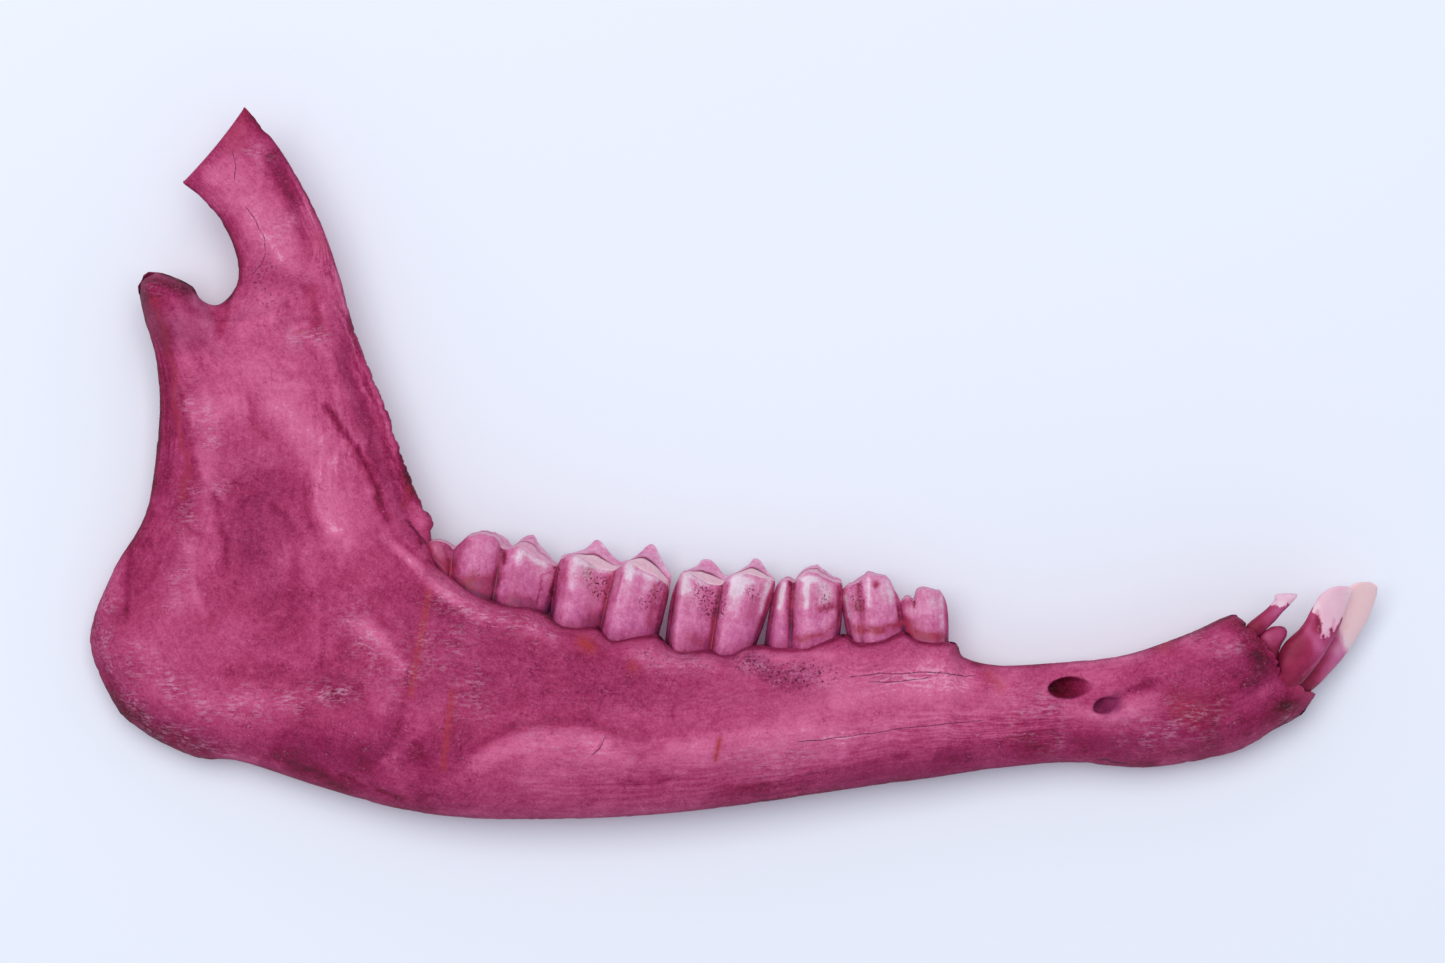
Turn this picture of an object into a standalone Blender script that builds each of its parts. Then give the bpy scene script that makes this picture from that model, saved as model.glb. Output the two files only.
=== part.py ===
"""Right half of a young goat's lower jaw, life size, lying on its inner side with the cheek side up.

X runs forward to the front teeth, Y up the branch of the jaw, Z out through the cheek side. All sizes
in the tables are millimetres; the finished solid is in metres, with the floor at Z = 0.
"""

import math

import bmesh
import bpy
import numpy as np

# Driving sizes
JAW_LENGTH = 167.5  # from the back of the angle to the tip of the first front tooth
DRAWN_LENGTH = 167.5  # the same distance as the landmarks below are drawn
METRES = 0.001 * JAW_LENGTH / DRAWN_LENGTH

# How finely the solid is faceted
RIB_SPACING = 2.2  # along the jaw
FACE_STRIPS = 15  # across each face of the bone
CONDYLE_SIDES = 20
TOOTH_LOBE_STEPS = (0.0, 0.10, 0.24, 0.38, 0.52, 0.68, 0.86)  # along each lobe of a cheek tooth
FRONT_TOOTH_RINGS = 12
FRONT_TOOTH_SIDES = 14
HOLE_SIDES = 12

# Ribs cross the bone from its lower or back edge to its upper or front edge: name, X, Y, X, Y
RIBS = (
    ("incisor margin", 75.7, -30.2, 66.3, -20.5),
    ("chin", 70.4, -34.7, 64.2, -19.6),
    ("chin hollow", 65.2, -37.6, 59.2, -21.9),
    ("symphysis heel", 54.1, -39.6, 50.9, -24.8),
    ("mental foramen", 43.7, -38.9, 42.4, -25.8),
    ("diastema", 34.6, -39.6, 34.6, -26.2),
    ("rise", 28.8, -40.4, 30.0, -25.2),
    ("front of P2", 25.5, -40.9, 27.9, -23.2),
    ("P3", 15.1, -42.3, 18.0, -23.0),
    ("P4", 1.5, -44.3, 4.1, -24.1),
    ("M1", -10.2, -45.6, -4.4, -24.4),
    ("M2", -22.6, -46.2, -15.4, -22.2),
    ("M3", -34.3, -46.1, -26.5, -18.7),
    ("M3 heel", -44.0, -44.8, -33.6, -15.8),
    ("behind M3", -53.8, -42.1, -38.2, -12.6),
    ("vessel notch", -64.2, -38.8, -39.3, -9.0),
    ("angle front", -73.6, -37.4, -40.6, -5.2),
    ("angle low", -80.8, -31.1, -41.9, -2.0),
    ("angle", -83.8, -22.9, -43.1, 1.6),
    ("angle high", -80.8, -14.1, -44.6, 5.8),
    ("branch low", -76.4, -6.3, -46.2, 9.4),
    ("branch waist", -74.7, 4.4, -48.2, 14.4),
    ("condyle base", -74.3, 11.9, -49.6, 18.6),
    ("notch back", -70.4, 19.0, -50.6, 22.3),
    ("notch floor", -67.4, 20.4, -51.3, 25.0),
    ("notch bend", -65.3, 21.7, -52.3, 28.2),
    ("notch front", -64.1, 24.4, -53.9, 32.2),
    ("coronoid root", -65.2, 29.3, -56.3, 36.8),
    ("coronoid", -68.4, 33.9, -59.2, 41.4),
    ("coronoid tip", -71.4, 36.4, -63.2, 46.3),
)

# Depth of the bone at some ribs: height of the lower edge and of the upper edge, of the outer face
# and of the inner face half way between them, and how far the rounding of each edge reaches in
DEPTHS = {
    "incisor margin": (5.0, 9.6, 12.0, 3.6, 5.0, 2.6),
    "chin": (4.4, 9.6, 12.5, 2.7, 6.0, 3.2),
    "chin hollow": (4.0, 9.2, 12.6, 1.2, 7.0, 4.0),
    "symphysis heel": (4.0, 8.5, 12.0, -0.3, 7.0, 5.2),
    "mental foramen": (5.4, 8.0, 11.2, 1.4, 6.6, 5.6),
    "diastema": (6.0, 7.8, 10.8, 2.4, 6.6, 5.6),
    "front of P2": (6.4, 8.0, 12.2, 2.5, 8.0, 3.0),
    "P4": (7.0, 8.9, 14.6, 2.0, 10.5, 2.2),
    "M2": (7.0, 9.2, 15.4, 1.5, 11.5, 2.4),
    "M3": (6.4, 9.4, 15.4, 0.9, 11.5, 3.0),
    "M3 heel": (5.6, 9.2, 14.8, 0.1, 10.5, 4.0),
    "vessel notch": (4.4, 8.6, 12.0, 0.8, 8.0, 5.0),
    "angle low": (4.4, 8.4, 10.0, 2.3, 5.0, 4.5),
    "angle": (4.6, 8.4, 9.6, 2.8, 4.6, 4.5),
    "branch low": (6.0, 8.6, 10.8, 3.5, 5.4, 4.5),
    "branch waist": (7.0, 8.9, 11.2, 4.6, 5.0, 4.5),
    "notch floor": (9.0, 9.6, 11.9, 7.3, 3.0, 4.0),
    "coronoid root": (10.2, 10.7, 12.8, 9.0, 2.8, 3.5),
    "coronoid tip": (11.7, 12.2, 13.0, 11.0, 2.0, 2.2),
}

# Ridges and grooves of each face follow a line: points along it, half width, height (negative is a groove)
OUTER_LINES = (
    # the crest that runs down from the coronoid process to the gum line beside the last molar
    (((-53.0, 19.5), (-50.5, 8.3), (-47.3, -1.0), (-43.6, -9.2), (-38.6, -15.6), (-31.0, -19.8)), 2.4, 1.2),
    # the hollow between that crest and the thin front edge of the branch
    (((-49.3, 13.0), (-45.9, 4.4), (-42.9, -3.4), (-40.6, -9.4)), 1.9, -2.0),
    # the swelling along the lower half of the body
    (((-36.0, -41.0), (-17.4, -38.4), (8.6, -36.6), (34.6, -34.0)), 4.6, 0.8),
    # the groove along the front of the coronoid process
    (((-59.6, 39.5), (-56.6, 33.0), (-54.4, 26.5)), 1.5, -0.6),
    # the rim round the chewing muscle's hollow, low on the angle
    (((-79.0, -24.0), (-74.0, -31.5), (-62.0, -34.6), (-48.0, -35.5), (-42.0, -27.0)), 3.0, 0.8),
    # the root sockets swell under the gum line
    (((-27.0, -23.5), (-14.0, -27.0), (2.0, -28.5), (20.0, -27.5)), 3.0, 0.5),
)
OUTER_HOLLOWS = (
    # centre, reach along X and Y, depth of the hollows that the chewing muscle leaves
    ((-62.5, -11.5), (9.0, 15.0), 1.5),
    ((-66.0, 14.0), (5.0, 9.0), 0.5),
    ((-22.0, -31.5), (24.0, 4.5), 0.6),
)
INNER_LINES = (
    # the line above the flat joint of the chin
    (((44.0, -30.0), (54.0, -29.5), (64.0, -27.0)), 3.0, -1.5),
    # the ridge of the floor-of-mouth muscle under the cheek teeth
    (((-34.0, -26.0), (-10.0, -31.0), (16.0, -33.0)), 2.4, 0.7),
)
INNER_HOLLOWS = (
    ((-66.0, -8.0), (8.0, 12.0), 0.9),
    ((-60.0, 12.0), (5.0, 7.0), 0.5),
)

# The condylar process: ring centres X, Y, Z, half width across X, half depth along Z, turn in degrees
CONDYLE_RINGS = (
    (-69.4, 4.0, 7.6, 4.4, 2.2, 0.0),
    (-70.4, 10.5, 7.8, 4.3, 2.9, 2.0),
    (-71.5, 15.5, 8.0, 4.1, 4.4, 4.0),
    (-72.3, 18.8, 8.4, 4.2, 6.5, 6.0),
    (-73.1, 21.0, 8.7, 4.0, 8.5, 9.0),
    (-73.6, 22.8, 8.8, 3.6, 9.2, 13.0),
    (-74.3, 24.0, 8.9, 2.5, 8.6, 17.0),
    (-74.5, 24.5, 8.9, 1.2, 7.0, 17.0),
)

# Cheek teeth, back to front. For each: corners of the outer face (top back, top front, gum back,
# gum front), height Z, width, and bluntness of the cusps (1 is worn to straight slopes, more is domed).
# For each lobe: its share of the tooth, then how far the outer and the inner cusp rise over the line
# between the top corners, each with its place in the lobe from back to front
CHEEK_TEETH = (
    ("M3", (-39.7, -11.9), (-22.7, -13.4), (-38.4, -14.4), (-24.6, -19.4), 9.4, 7.6, 2.0,
     ((0.20, 1.6, 0.50, 1.7, 0.50), (0.42, 3.5, 0.55, 3.2, 0.50), (0.38, 2.4, 0.35, 3.9, 0.40))),
    ("M2", (-22.9, -12.6), (-7.2, -15.2), (-23.6, -20.4), (-10.2, -22.6), 9.2, 8.0, 1.3,
     ((0.49, 1.4, 0.30, 3.4, 0.62), (0.51, 1.5, 0.30, 4.2, 0.50))),
    ("M1", (-7.5, -15.1), (5.5, -15.0), (-8.5, -23.6), (2.2, -24.0), 8.8, 7.6, 1.3,
     ((0.49, 1.0, 0.32, 2.6, 0.60), (0.51, 1.0, 0.32, 2.9, 0.60))),
    ("P4", (5.2, -15.9), (14.2, -15.1), (4.3, -23.8), (13.8, -22.8), 8.4, 6.4, 1.6,
     ((0.28, 0.8, 0.50, 0.9, 0.50), (0.72, 1.1, 0.40, 2.1, 0.38))),
    ("P3", (14.0, -15.6), (21.5, -16.9), (14.8, -23.2), (21.7, -22.4), 8.0, 5.2, 2.4,
     ((1.0, 1.8, 0.42, 2.0, 0.40),)),
    ("P2", (21.4, -18.3), (27.7, -17.8), (22.9, -22.6), (27.9, -23.2), 7.7, 4.2, 3.0,
     ((0.32, 0.4, 0.50, 0.4, 0.50), (0.68, 1.5, 0.40, 1.5, 0.40))),
)
TOOTH_ROOT = 4.5  # how deep a cheek tooth sinks below the gum line
PIT_DEPTH = 1.5  # the crescent pit between the two cusps of a lobe
INWARD_LEAN = 0.6  # how far the crown leans to the tongue side at the top

# Front teeth. Along the axis from the root to the cutting edge: X, Y, Z, width and thickness. Then the
# turn of the broad face about the axis in degrees (0 faces the cheek side), and how much the cutting
# edge slants across the axis
FRONT_TEETH = (
    ("I1", ((64.0, -34.2, 6.2, 3.4, 3.0), (73.3, -28.6, 5.8, 4.2, 3.4), (79.1, -22.9, 6.2, 5.6, 2.6),
            (81.8, -16.9, 7.1, 6.0, 1.3), (82.0, -15.7, 7.2, 4.8, 0.8)), 52.0, 0.0),
    ("I2", ((64.6, -32.2, 9.0, 3.2, 2.6), (71.9, -26.6, 9.4, 4.6, 3.2), (76.0, -21.2, 9.8, 4.8, 2.4),
            (78.5, -16.9, 10.4, 3.7, 1.3), (78.9, -15.9, 10.5, 2.4, 0.8)), 24.0, 0.3),
    ("I3", ((66.0, -28.6, 8.6, 2.4, 2.2), (69.0, -24.8, 9.2, 3.0, 2.4), (70.2, -22.6, 9.6, 3.0, 2.2),
            (70.7, -21.3, 9.8, 1.8, 1.2)), 10.0, 0.0),
    ("I4", ((63.0, -25.6, 9.0, 2.0, 2.0), (67.9, -21.3, 10.0, 1.7, 1.8), (70.7, -18.5, 10.6, 1.7, 1.4),
            (71.7, -17.0, 10.8, 2.8, 1.0)), 5.0, 0.5),
)

# Holes: mouth centre, direction inwards, radius, depth
HOLES = (
    ("first mental foramen", (43.3, -29.0, 10.9), (-0.86, -0.02, -0.50), 1.40, 6.5),
    ("second mental foramen", (47.6, -31.4, 11.2), (-0.80, -0.10, -0.59), 1.00, 3.6),
    ("mandibular foramen", (-59.5, 3.0, 4.6), (0.62, -0.60, 0.50), 1.9, 5.0),
)

BONE_COLOUR = (0.46, 0.07, 0.17, 1.0)
BONE_ROUGHNESS = 0.55


def curve_through(knots, values, at):
    """Cubic curve through the values at the knots, its slopes taken from the neighbouring knots."""
    knots, values, at = np.asarray(knots, float), np.asarray(values, float), np.asarray(at, float)
    slopes = np.gradient(values, knots, axis=0)
    i = np.clip(np.searchsorted(knots, at, side="right") - 1, 0, len(knots) - 2)
    span = (knots[i + 1] - knots[i])[:, None]
    t = (at - knots[i])[:, None] / span
    return (
        values[i] * (2 * t**3 - 3 * t**2 + 1)
        + slopes[i] * span * (t**3 - 2 * t**2 + t)
        + values[i + 1] * (3 * t**2 - 2 * t**3)
        + slopes[i + 1] * span * (t**3 - t**2)
    )


def distance_to_line(x, y, points):
    """Shortest distance from each place to a line through the points."""
    nearest = np.full(np.shape(x), np.inf)
    for (x0, y0), (x1, y1) in zip(points, points[1:]):
        dx, dy = x1 - x0, y1 - y0
        t = np.clip(((x - x0) * dx + (y - y0) * dy) / (dx * dx + dy * dy), 0, 1)
        nearest = np.minimum(nearest, np.hypot(x - x0 - t * dx, y - y0 - t * dy))
    return nearest


def relief(x, y, lines, hollows):
    """Ridges, grooves and hollows of one face, each shaped as a bell; positive stands out of the bone."""
    total = np.zeros_like(x)
    for points, half_width, height in lines:
        total += height * np.exp(-((distance_to_line(x, y, points) / half_width) ** 2))
    for (cx, cy), (rx, ry), depth in hollows:
        total -= depth * np.exp(-(((x - cx) / rx) ** 2) - ((y - cy) / ry) ** 2)
    return total


def edge_rounding(distance, reach):
    """0 at an edge, 1 once the quarter ellipse of that reach is passed."""
    return np.sqrt(1 - (1 - np.clip(distance / reach, 0, 1)) ** 2)


def bone_rings():
    """Closed rings round the bone, one for each rib: over the outer face, then back under the inner face."""
    names = [rib[0] for rib in RIBS]
    edges = np.array([rib[1:] for rib in RIBS])
    middles = (edges[:, :2] + edges[:, 2:]) / 2
    travelled = np.concatenate([[0], np.cumsum(np.linalg.norm(np.diff(edges[:, :2], axis=0), axis=1)
                                               + np.linalg.norm(np.diff(edges[:, 2:], axis=0), axis=1))]) / 2
    count = int(travelled[-1] / RIB_SPACING)
    places = np.interp(np.linspace(0, travelled[-1], count), travelled, np.arange(len(names)))
    edge = curve_through(np.arange(len(names)), edges, places)
    depth = curve_through([names.index(name) for name in DEPTHS], list(DEPTHS.values()), places)
    low_z, high_z, outer_z, inner_z, low_reach, high_reach = (depth[:, k, None] for k in range(6))

    s = (1 - np.cos(np.pi * np.arange(FACE_STRIPS + 1) / FACE_STRIPS)) / 2
    x = edge[:, 0, None] + s * (edge[:, 2] - edge[:, 0])[:, None]
    y = edge[:, 1, None] + s * (edge[:, 3] - edge[:, 1])[:, None]
    round_off = edge_rounding(distance_to_line(x, y, edge[:, :2]), low_reach)
    round_off *= edge_rounding(distance_to_line(x, y, edge[:, 2:]), high_reach)
    chord = low_z + s * (high_z - low_z)
    middle = (low_z + high_z) / 2
    outer = chord + round_off * (outer_z - middle + relief(x, y, OUTER_LINES, OUTER_HOLLOWS))
    inner = chord - round_off * (middle - inner_z + relief(x, y, INNER_LINES, INNER_HOLLOWS))
    outer_face = np.stack([x, y, outer], axis=2)
    inner_face = np.stack([x, y, inner], axis=2)[:, ::-1][:, 1:-1]
    return np.concatenate([outer_face, inner_face], axis=1)


def condyle_rings():
    """Flattened rings up the neck and over the roller-shaped head, which is wide along Z."""
    angle = 2 * np.pi * np.arange(CONDYLE_SIDES) / CONDYLE_SIDES
    rings = []
    for x, y, z, half_width, half_depth, turn in CONDYLE_RINGS:
        across = half_width * np.cos(angle)
        tilt = math.radians(turn)
        rings.append(np.stack([
            x + across * math.cos(tilt),
            y - across * math.sin(tilt),
            z + half_depth * np.sin(angle),
        ], axis=1))
    return np.array(rings)


def lobe_steps(lobes):
    """Places along a cheek tooth from 0 at its back to 1 at its front, each with its lobe and place in the lobe."""
    start = 0.0
    for lobe in lobes:
        for step in TOOTH_LOBE_STEPS:
            yield start + lobe[0] * step, lobe, step
        start += lobe[0]
    yield 1.0, lobes[-1], 1.0


def cusp(place, centre, bluntness):
    """1 at the centre of a cusp, falling to 0 at both edges of its lobe: straight, or domed if it is blunt."""
    away = (centre - place) / centre if place < centre else (place - centre) / (1 - centre)
    return 1 - away**bluntness


def cheek_tooth_rings(top_back, top_front, gum_back, gum_front, z, width, bluntness, lobes):
    """Rings across a cheek tooth, from its back to its front.

    Each ring goes up the outer wall, over the chewing face and down the inner wall to the root. The
    outer wall bulges once for each lobe, and both walls draw in where the tooth ends.
    """
    top_back, top_front, gum_back, gum_front = map(np.array, (top_back, top_front, gum_back, gum_front))
    rings = []
    for along, (_, outer_cusp, outer_place, inner_cusp, inner_place), place in lobe_steps(lobes):
        top = top_back + along * (top_front - top_back)
        gum = gum_back + along * (gum_front - gum_back)
        up = (top - gum) / np.linalg.norm(top - gum)
        lobe_bulge = math.sin(math.pi * place) if place < 1 else 0.0
        end_rounding = min(1.0, 0.42 + 4.0 * min(along, 1 - along))
        outer = width / 2 * (0.30 + 0.70 * lobe_bulge**0.6)
        inner = -width / 2 * (0.86 + 0.14 * lobe_bulge) * end_rounding
        outer_rise = outer_cusp * cusp(place, outer_place, bluntness)
        inner_rise = inner_cusp * cusp(place, inner_place, bluntness)
        pit = PIT_DEPTH * lobe_bulge
        profile = (
            (0.92 * outer, 0.0, -TOOTH_ROOT),
            (outer, 0.0, 0.0),
            (outer, 0.55, 0.0),
            (0.93 * outer, 1.0, outer_rise),
            (0.45 * outer, 1.0, outer_rise - 0.3 * pit),
            (0.10 * inner, 1.0, 0.5 * (outer_rise + inner_rise) - pit),
            (0.60 * inner, 1.0, inner_rise - 0.2 * pit),
            (0.92 * inner, 1.0, inner_rise),
            (inner, 0.55, 0.0),
            (inner, 0.0, 0.0),
            (0.92 * inner, 0.0, -TOOTH_ROOT),
        )
        ring = []
        for offset, height, rise in profile:
            point = gum + height * (top - gum) + rise * up
            ring.append((point[0], point[1], z + offset - INWARD_LEAN * height))
        rings.append(ring)
    return np.array(rings)


def front_tooth_rings(stations, turn, slant):
    """Flat oval rings along a bent axis, from the root to the cutting edge of a front tooth."""
    places = np.linspace(0, 1, FRONT_TOOTH_RINGS)
    sizes = curve_through(np.linspace(0, 1, len(stations)), stations, places)
    axis, width, thickness = sizes[:, :3], sizes[:, 3, None], sizes[:, 4, None]
    along = np.gradient(axis, axis=0)
    along /= np.linalg.norm(along, axis=1)[:, None]
    side = np.cross(along, (0.0, 0.0, 1.0))
    side /= np.linalg.norm(side, axis=1)[:, None]
    face = np.cross(side, along)
    roll = math.radians(turn)
    broad = side * math.cos(roll) - face * math.sin(roll)
    thin = side * math.sin(roll) + face * math.cos(roll)
    broad = broad + along * slant * places[:, None] ** 3
    angle = 2 * np.pi * np.arange(FRONT_TOOTH_SIDES) / FRONT_TOOTH_SIDES
    return (
        axis[:, None]
        + broad[:, None] * (width / 2 * np.cos(angle))[..., None]
        + thin[:, None] * (thickness / 2 * np.sin(angle))[..., None]
    )


def solid_from_rings(name, rings):
    """Closed mesh object from rings of equal count, with a flat cap at each end."""
    ring_count, side_count, _ = rings.shape
    mesh = bmesh.new()
    rows = [[mesh.verts.new(point) for point in ring] for ring in rings.tolist()]
    for lower, upper in zip(rows, rows[1:]):
        for i in range(side_count):
            j = (i + 1) % side_count
            mesh.faces.new((lower[i], lower[j], upper[j], upper[i]))
    mesh.faces.new(rows[0])
    mesh.faces.new(rows[-1])
    bmesh.ops.triangulate(mesh, faces=mesh.faces[:])
    bmesh.ops.recalc_face_normals(mesh, faces=mesh.faces[:])
    data = bpy.data.meshes.new(name)
    mesh.to_mesh(data)
    mesh.free()
    made = bpy.data.objects.new(name, data)
    bpy.context.scene.collection.objects.link(made)
    return made


def hole_cutter(name, mouth, direction, radius, depth):
    """Blunt tapering canal that starts outside the mouth and ends rounded inside the bone."""
    inwards = np.array(direction) / np.linalg.norm(direction)
    side = np.cross(inwards, (0.0, 1.0, 0.0))
    side /= np.linalg.norm(side)
    other = np.cross(inwards, side)
    angle = 2 * np.pi * np.arange(HOLE_SIDES) / HOLE_SIDES
    circle = side * np.cos(angle)[:, None] + other * np.sin(angle)[:, None]
    stations = ((-4.0, 1.25), (0.0, 1.0), (0.75 * depth, 0.8), (depth, 0.35))
    rings = [np.array(mouth) + inwards * along + circle * radius * share for along, share in stations]
    return solid_from_rings(name, np.array(rings))


def floor_cutter():
    """Slab below the floor, which planes the resting spots flat."""
    reach, below = 120.0, 10.0
    square = np.array([(-reach, -reach), (reach, -reach), (reach, reach), (-reach, reach)])
    rings = [np.column_stack([square, np.full(4, z)]) for z in (-below, 0.0)]
    return solid_from_rings("floor", np.array(rings))


def combine(body, tools, operation):
    """Applies one Boolean of the body with all the tools, then removes the tools."""
    group = bpy.data.collections.new(operation)
    for tool in tools:
        group.objects.link(tool)
    boolean = body.modifiers.new(operation, "BOOLEAN")
    boolean.operation = operation
    boolean.operand_type = "COLLECTION"
    boolean.collection = group
    boolean.solver = "EXACT"
    bpy.context.view_layer.update()
    graph = bpy.context.evaluated_depsgraph_get()
    data = bpy.data.meshes.new_from_object(body.evaluated_get(graph))
    body.modifiers.clear()
    body.data = data
    for tool in tools:
        bpy.data.objects.remove(tool)
    bpy.data.collections.remove(group)


def keep_largest_surface(body):
    """Drops every closed surface of the body but the one that encloses most."""
    mesh = bmesh.new()
    mesh.from_mesh(body.data)
    left = set(mesh.faces)
    surfaces = []
    while left:
        surface, edge = set(), [left.pop()]
        while edge:
            face = edge.pop()
            surface.add(face)
            for beside in {other for line in face.edges for other in line.link_faces} & left:
                left.discard(beside)
                edge.append(beside)
        surfaces.append(surface)
    surfaces.sort(key=lambda faces: abs(sum(f.calc_area() * f.calc_center_median().dot(f.normal) for f in faces)))
    dropped = [face for surface in surfaces[:-1] for face in surface]
    bmesh.ops.delete(mesh, geom=dropped, context="FACES")
    mesh.to_mesh(body.data)
    mesh.free()


def bone_material():
    """Dyed dry bone."""
    material = bpy.data.materials.new("dyed bone")
    material.use_nodes = True
    shader = material.node_tree.nodes["Principled BSDF"]
    shader.inputs["Base Color"].default_value = BONE_COLOUR
    shader.inputs["Roughness"].default_value = BONE_ROUGHNESS
    shader.inputs["Metallic"].default_value = 0.0
    return material


def build_jawbone():
    """The bone, its condylar process and its ten teeth as one closed body."""
    body = solid_from_rings("jawbone", bone_rings())
    grown = [solid_from_rings("condyle", condyle_rings())]
    for name, *sizes in CHEEK_TEETH:
        grown.append(solid_from_rings(name, cheek_tooth_rings(*sizes)))
    for name, *sizes in FRONT_TEETH:
        grown.append(solid_from_rings(name, front_tooth_rings(*sizes)))
    combine(body, grown, "UNION")
    cutters = [hole_cutter(*hole) for hole in HOLES]
    cutters.append(floor_cutter())
    combine(body, cutters, "DIFFERENCE")
    keep_largest_surface(body)
    places = np.array([vertex.co for vertex in body.data.vertices])
    places[:, :2] -= (places[:, :2].min(axis=0) + places[:, :2].max(axis=0)) / 2
    body.data.vertices.foreach_set("co", (METRES * places).ravel())
    body.data.materials.clear()
    body.data.materials.append(bone_material())
    body.data.shade_smooth()
    body.data.set_sharp_from_angle(angle=math.radians(40))
    return body


for leftover in list(bpy.data.objects):
    bpy.data.objects.remove(leftover)
build_jawbone()
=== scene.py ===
import math

import bpy
import numpy as np
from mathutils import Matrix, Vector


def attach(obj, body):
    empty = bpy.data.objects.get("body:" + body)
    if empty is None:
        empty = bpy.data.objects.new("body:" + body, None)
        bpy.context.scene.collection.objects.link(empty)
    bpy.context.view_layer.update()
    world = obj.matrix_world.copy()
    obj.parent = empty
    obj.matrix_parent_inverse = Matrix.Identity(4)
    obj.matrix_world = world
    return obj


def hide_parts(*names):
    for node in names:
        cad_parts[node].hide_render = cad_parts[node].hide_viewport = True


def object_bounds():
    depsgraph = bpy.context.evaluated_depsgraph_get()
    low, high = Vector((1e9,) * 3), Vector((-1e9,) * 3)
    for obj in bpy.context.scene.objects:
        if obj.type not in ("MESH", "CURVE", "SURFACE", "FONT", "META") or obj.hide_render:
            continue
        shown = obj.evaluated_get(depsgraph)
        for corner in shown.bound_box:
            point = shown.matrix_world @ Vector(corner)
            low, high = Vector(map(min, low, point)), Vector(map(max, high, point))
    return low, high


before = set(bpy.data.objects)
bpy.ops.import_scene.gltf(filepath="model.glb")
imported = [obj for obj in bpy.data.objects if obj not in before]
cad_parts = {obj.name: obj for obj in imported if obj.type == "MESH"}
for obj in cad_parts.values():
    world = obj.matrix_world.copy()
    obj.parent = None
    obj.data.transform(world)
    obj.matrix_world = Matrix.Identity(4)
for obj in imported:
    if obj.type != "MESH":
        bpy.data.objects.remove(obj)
cad_low, cad_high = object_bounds()

# The floor, the light and the camera. A matt, cool white board lies under a wide overhead softbox
# and a dim even room light. The camera looks straight down from 0.9 m through a long lens.

FLOOR_HALF = 0.8
FLOOR_COLOUR = "#f1f4fb"
ROOM_COLOUR = "#e4edff"
ROOM_STRENGTH = 0.54
SOFTBOX_SIDE = 1.3
SOFTBOX_PLACE = (-0.25, 0.50, 1.45)
SOFTBOX_POWER = 17.8
LOOK_AT = (-0.00143, -0.00234, 0.0065)  # the height at which the picture is to scale
LENS_HEIGHT = 0.9
PICTURE_WIDTH = 0.18785
SENSOR_WIDTH = 36.0


def hex_linear(code):
    """Linear light values of an sRGB hex colour, with alpha 1."""
    srgb = np.array([int(code[i:i + 2], 16) / 255 for i in (1, 3, 5)])
    return (*np.where(srgb <= 0.04045, srgb / 12.92, ((srgb + 0.055) / 1.055) ** 2.4), 1.0)


def add_node(tree, kind, **settings):
    """Adds a node. Each setting is an option of the node, or a socket, whose spaces are written as _. A
    socket is linked when it is given a node, which stands for its first output, or another node's
    socket. Stops fill a ramp: (place, hex colour)."""
    node = tree.nodes.new("ShaderNode" + kind)
    sockets = {socket.name.replace(" ", "_"): socket for socket in reversed(node.inputs)}
    sockets.update({socket.identifier.replace(" ", "_"): socket for socket in node.inputs})
    for name, value in settings.items():
        if isinstance(value, bpy.types.Node):
            value = value.outputs[value.outputs[0].name]  # by name, as that finds the one in use
        if name == "stops":
            for place, colour in value:
                node.color_ramp.elements.new(place).color = hex_linear(colour)
            node.color_ramp.elements.remove(node.color_ramp.elements[0])
            node.color_ramp.elements.remove(node.color_ramp.elements[-1])
        elif name in node.bl_rna.properties:
            setattr(node, name, value)
        elif isinstance(value, bpy.types.NodeSocket):
            tree.links.new(value, sockets[name])
        else:
            sockets[name].default_value = value
    return node


def new_material(name):
    """Material with an empty node tree and an output, and the tree and the output's surface socket."""
    material = bpy.data.materials.new(name)
    material.use_nodes = True
    material.node_tree.nodes.clear()
    output = material.node_tree.nodes.new("ShaderNodeOutputMaterial")
    return material, material.node_tree, output.inputs["Surface"]


# Painted board: dead matt, faintly blue.
board_paint, tree, surface = new_material("matt white board")
shader = add_node(
    tree, "BsdfPrincipled", Base_Color=hex_linear(FLOOR_COLOUR), Roughness=0.9, Specular_IOR_Level=0.1
)
tree.links.new(shader.outputs["BSDF"], surface)
floor_mesh = bpy.data.meshes.new("floor")
corners = [(-FLOOR_HALF, -FLOOR_HALF, 0), (FLOOR_HALF, -FLOOR_HALF, 0),
           (FLOOR_HALF, FLOOR_HALF, 0), (-FLOOR_HALF, FLOOR_HALF, 0)]
floor_mesh.from_pydata(corners, [], [(0, 1, 2, 3)])
floor_mesh.materials.append(board_paint)
floor = bpy.data.objects.new("floor", floor_mesh)
bpy.context.scene.collection.objects.link(floor)

room = bpy.data.worlds.new("room light")
room.use_nodes = True
background = room.node_tree.nodes["Background"]
background.inputs["Color"].default_value = hex_linear(ROOM_COLOUR)
background.inputs["Strength"].default_value = ROOM_STRENGTH
bpy.context.scene.world = room

softbox_data = bpy.data.lights.new("softbox", "AREA")
softbox_data.size = SOFTBOX_SIDE
softbox_data.energy = SOFTBOX_POWER
softbox = bpy.data.objects.new("softbox", softbox_data)
softbox.location = SOFTBOX_PLACE
downwards = -np.array(SOFTBOX_PLACE) / np.linalg.norm(SOFTBOX_PLACE)
softbox.rotation_euler = (math.atan2(-downwards[1], -downwards[2]), math.asin(downwards[0]), 0.0)
bpy.context.scene.collection.objects.link(softbox)

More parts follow.
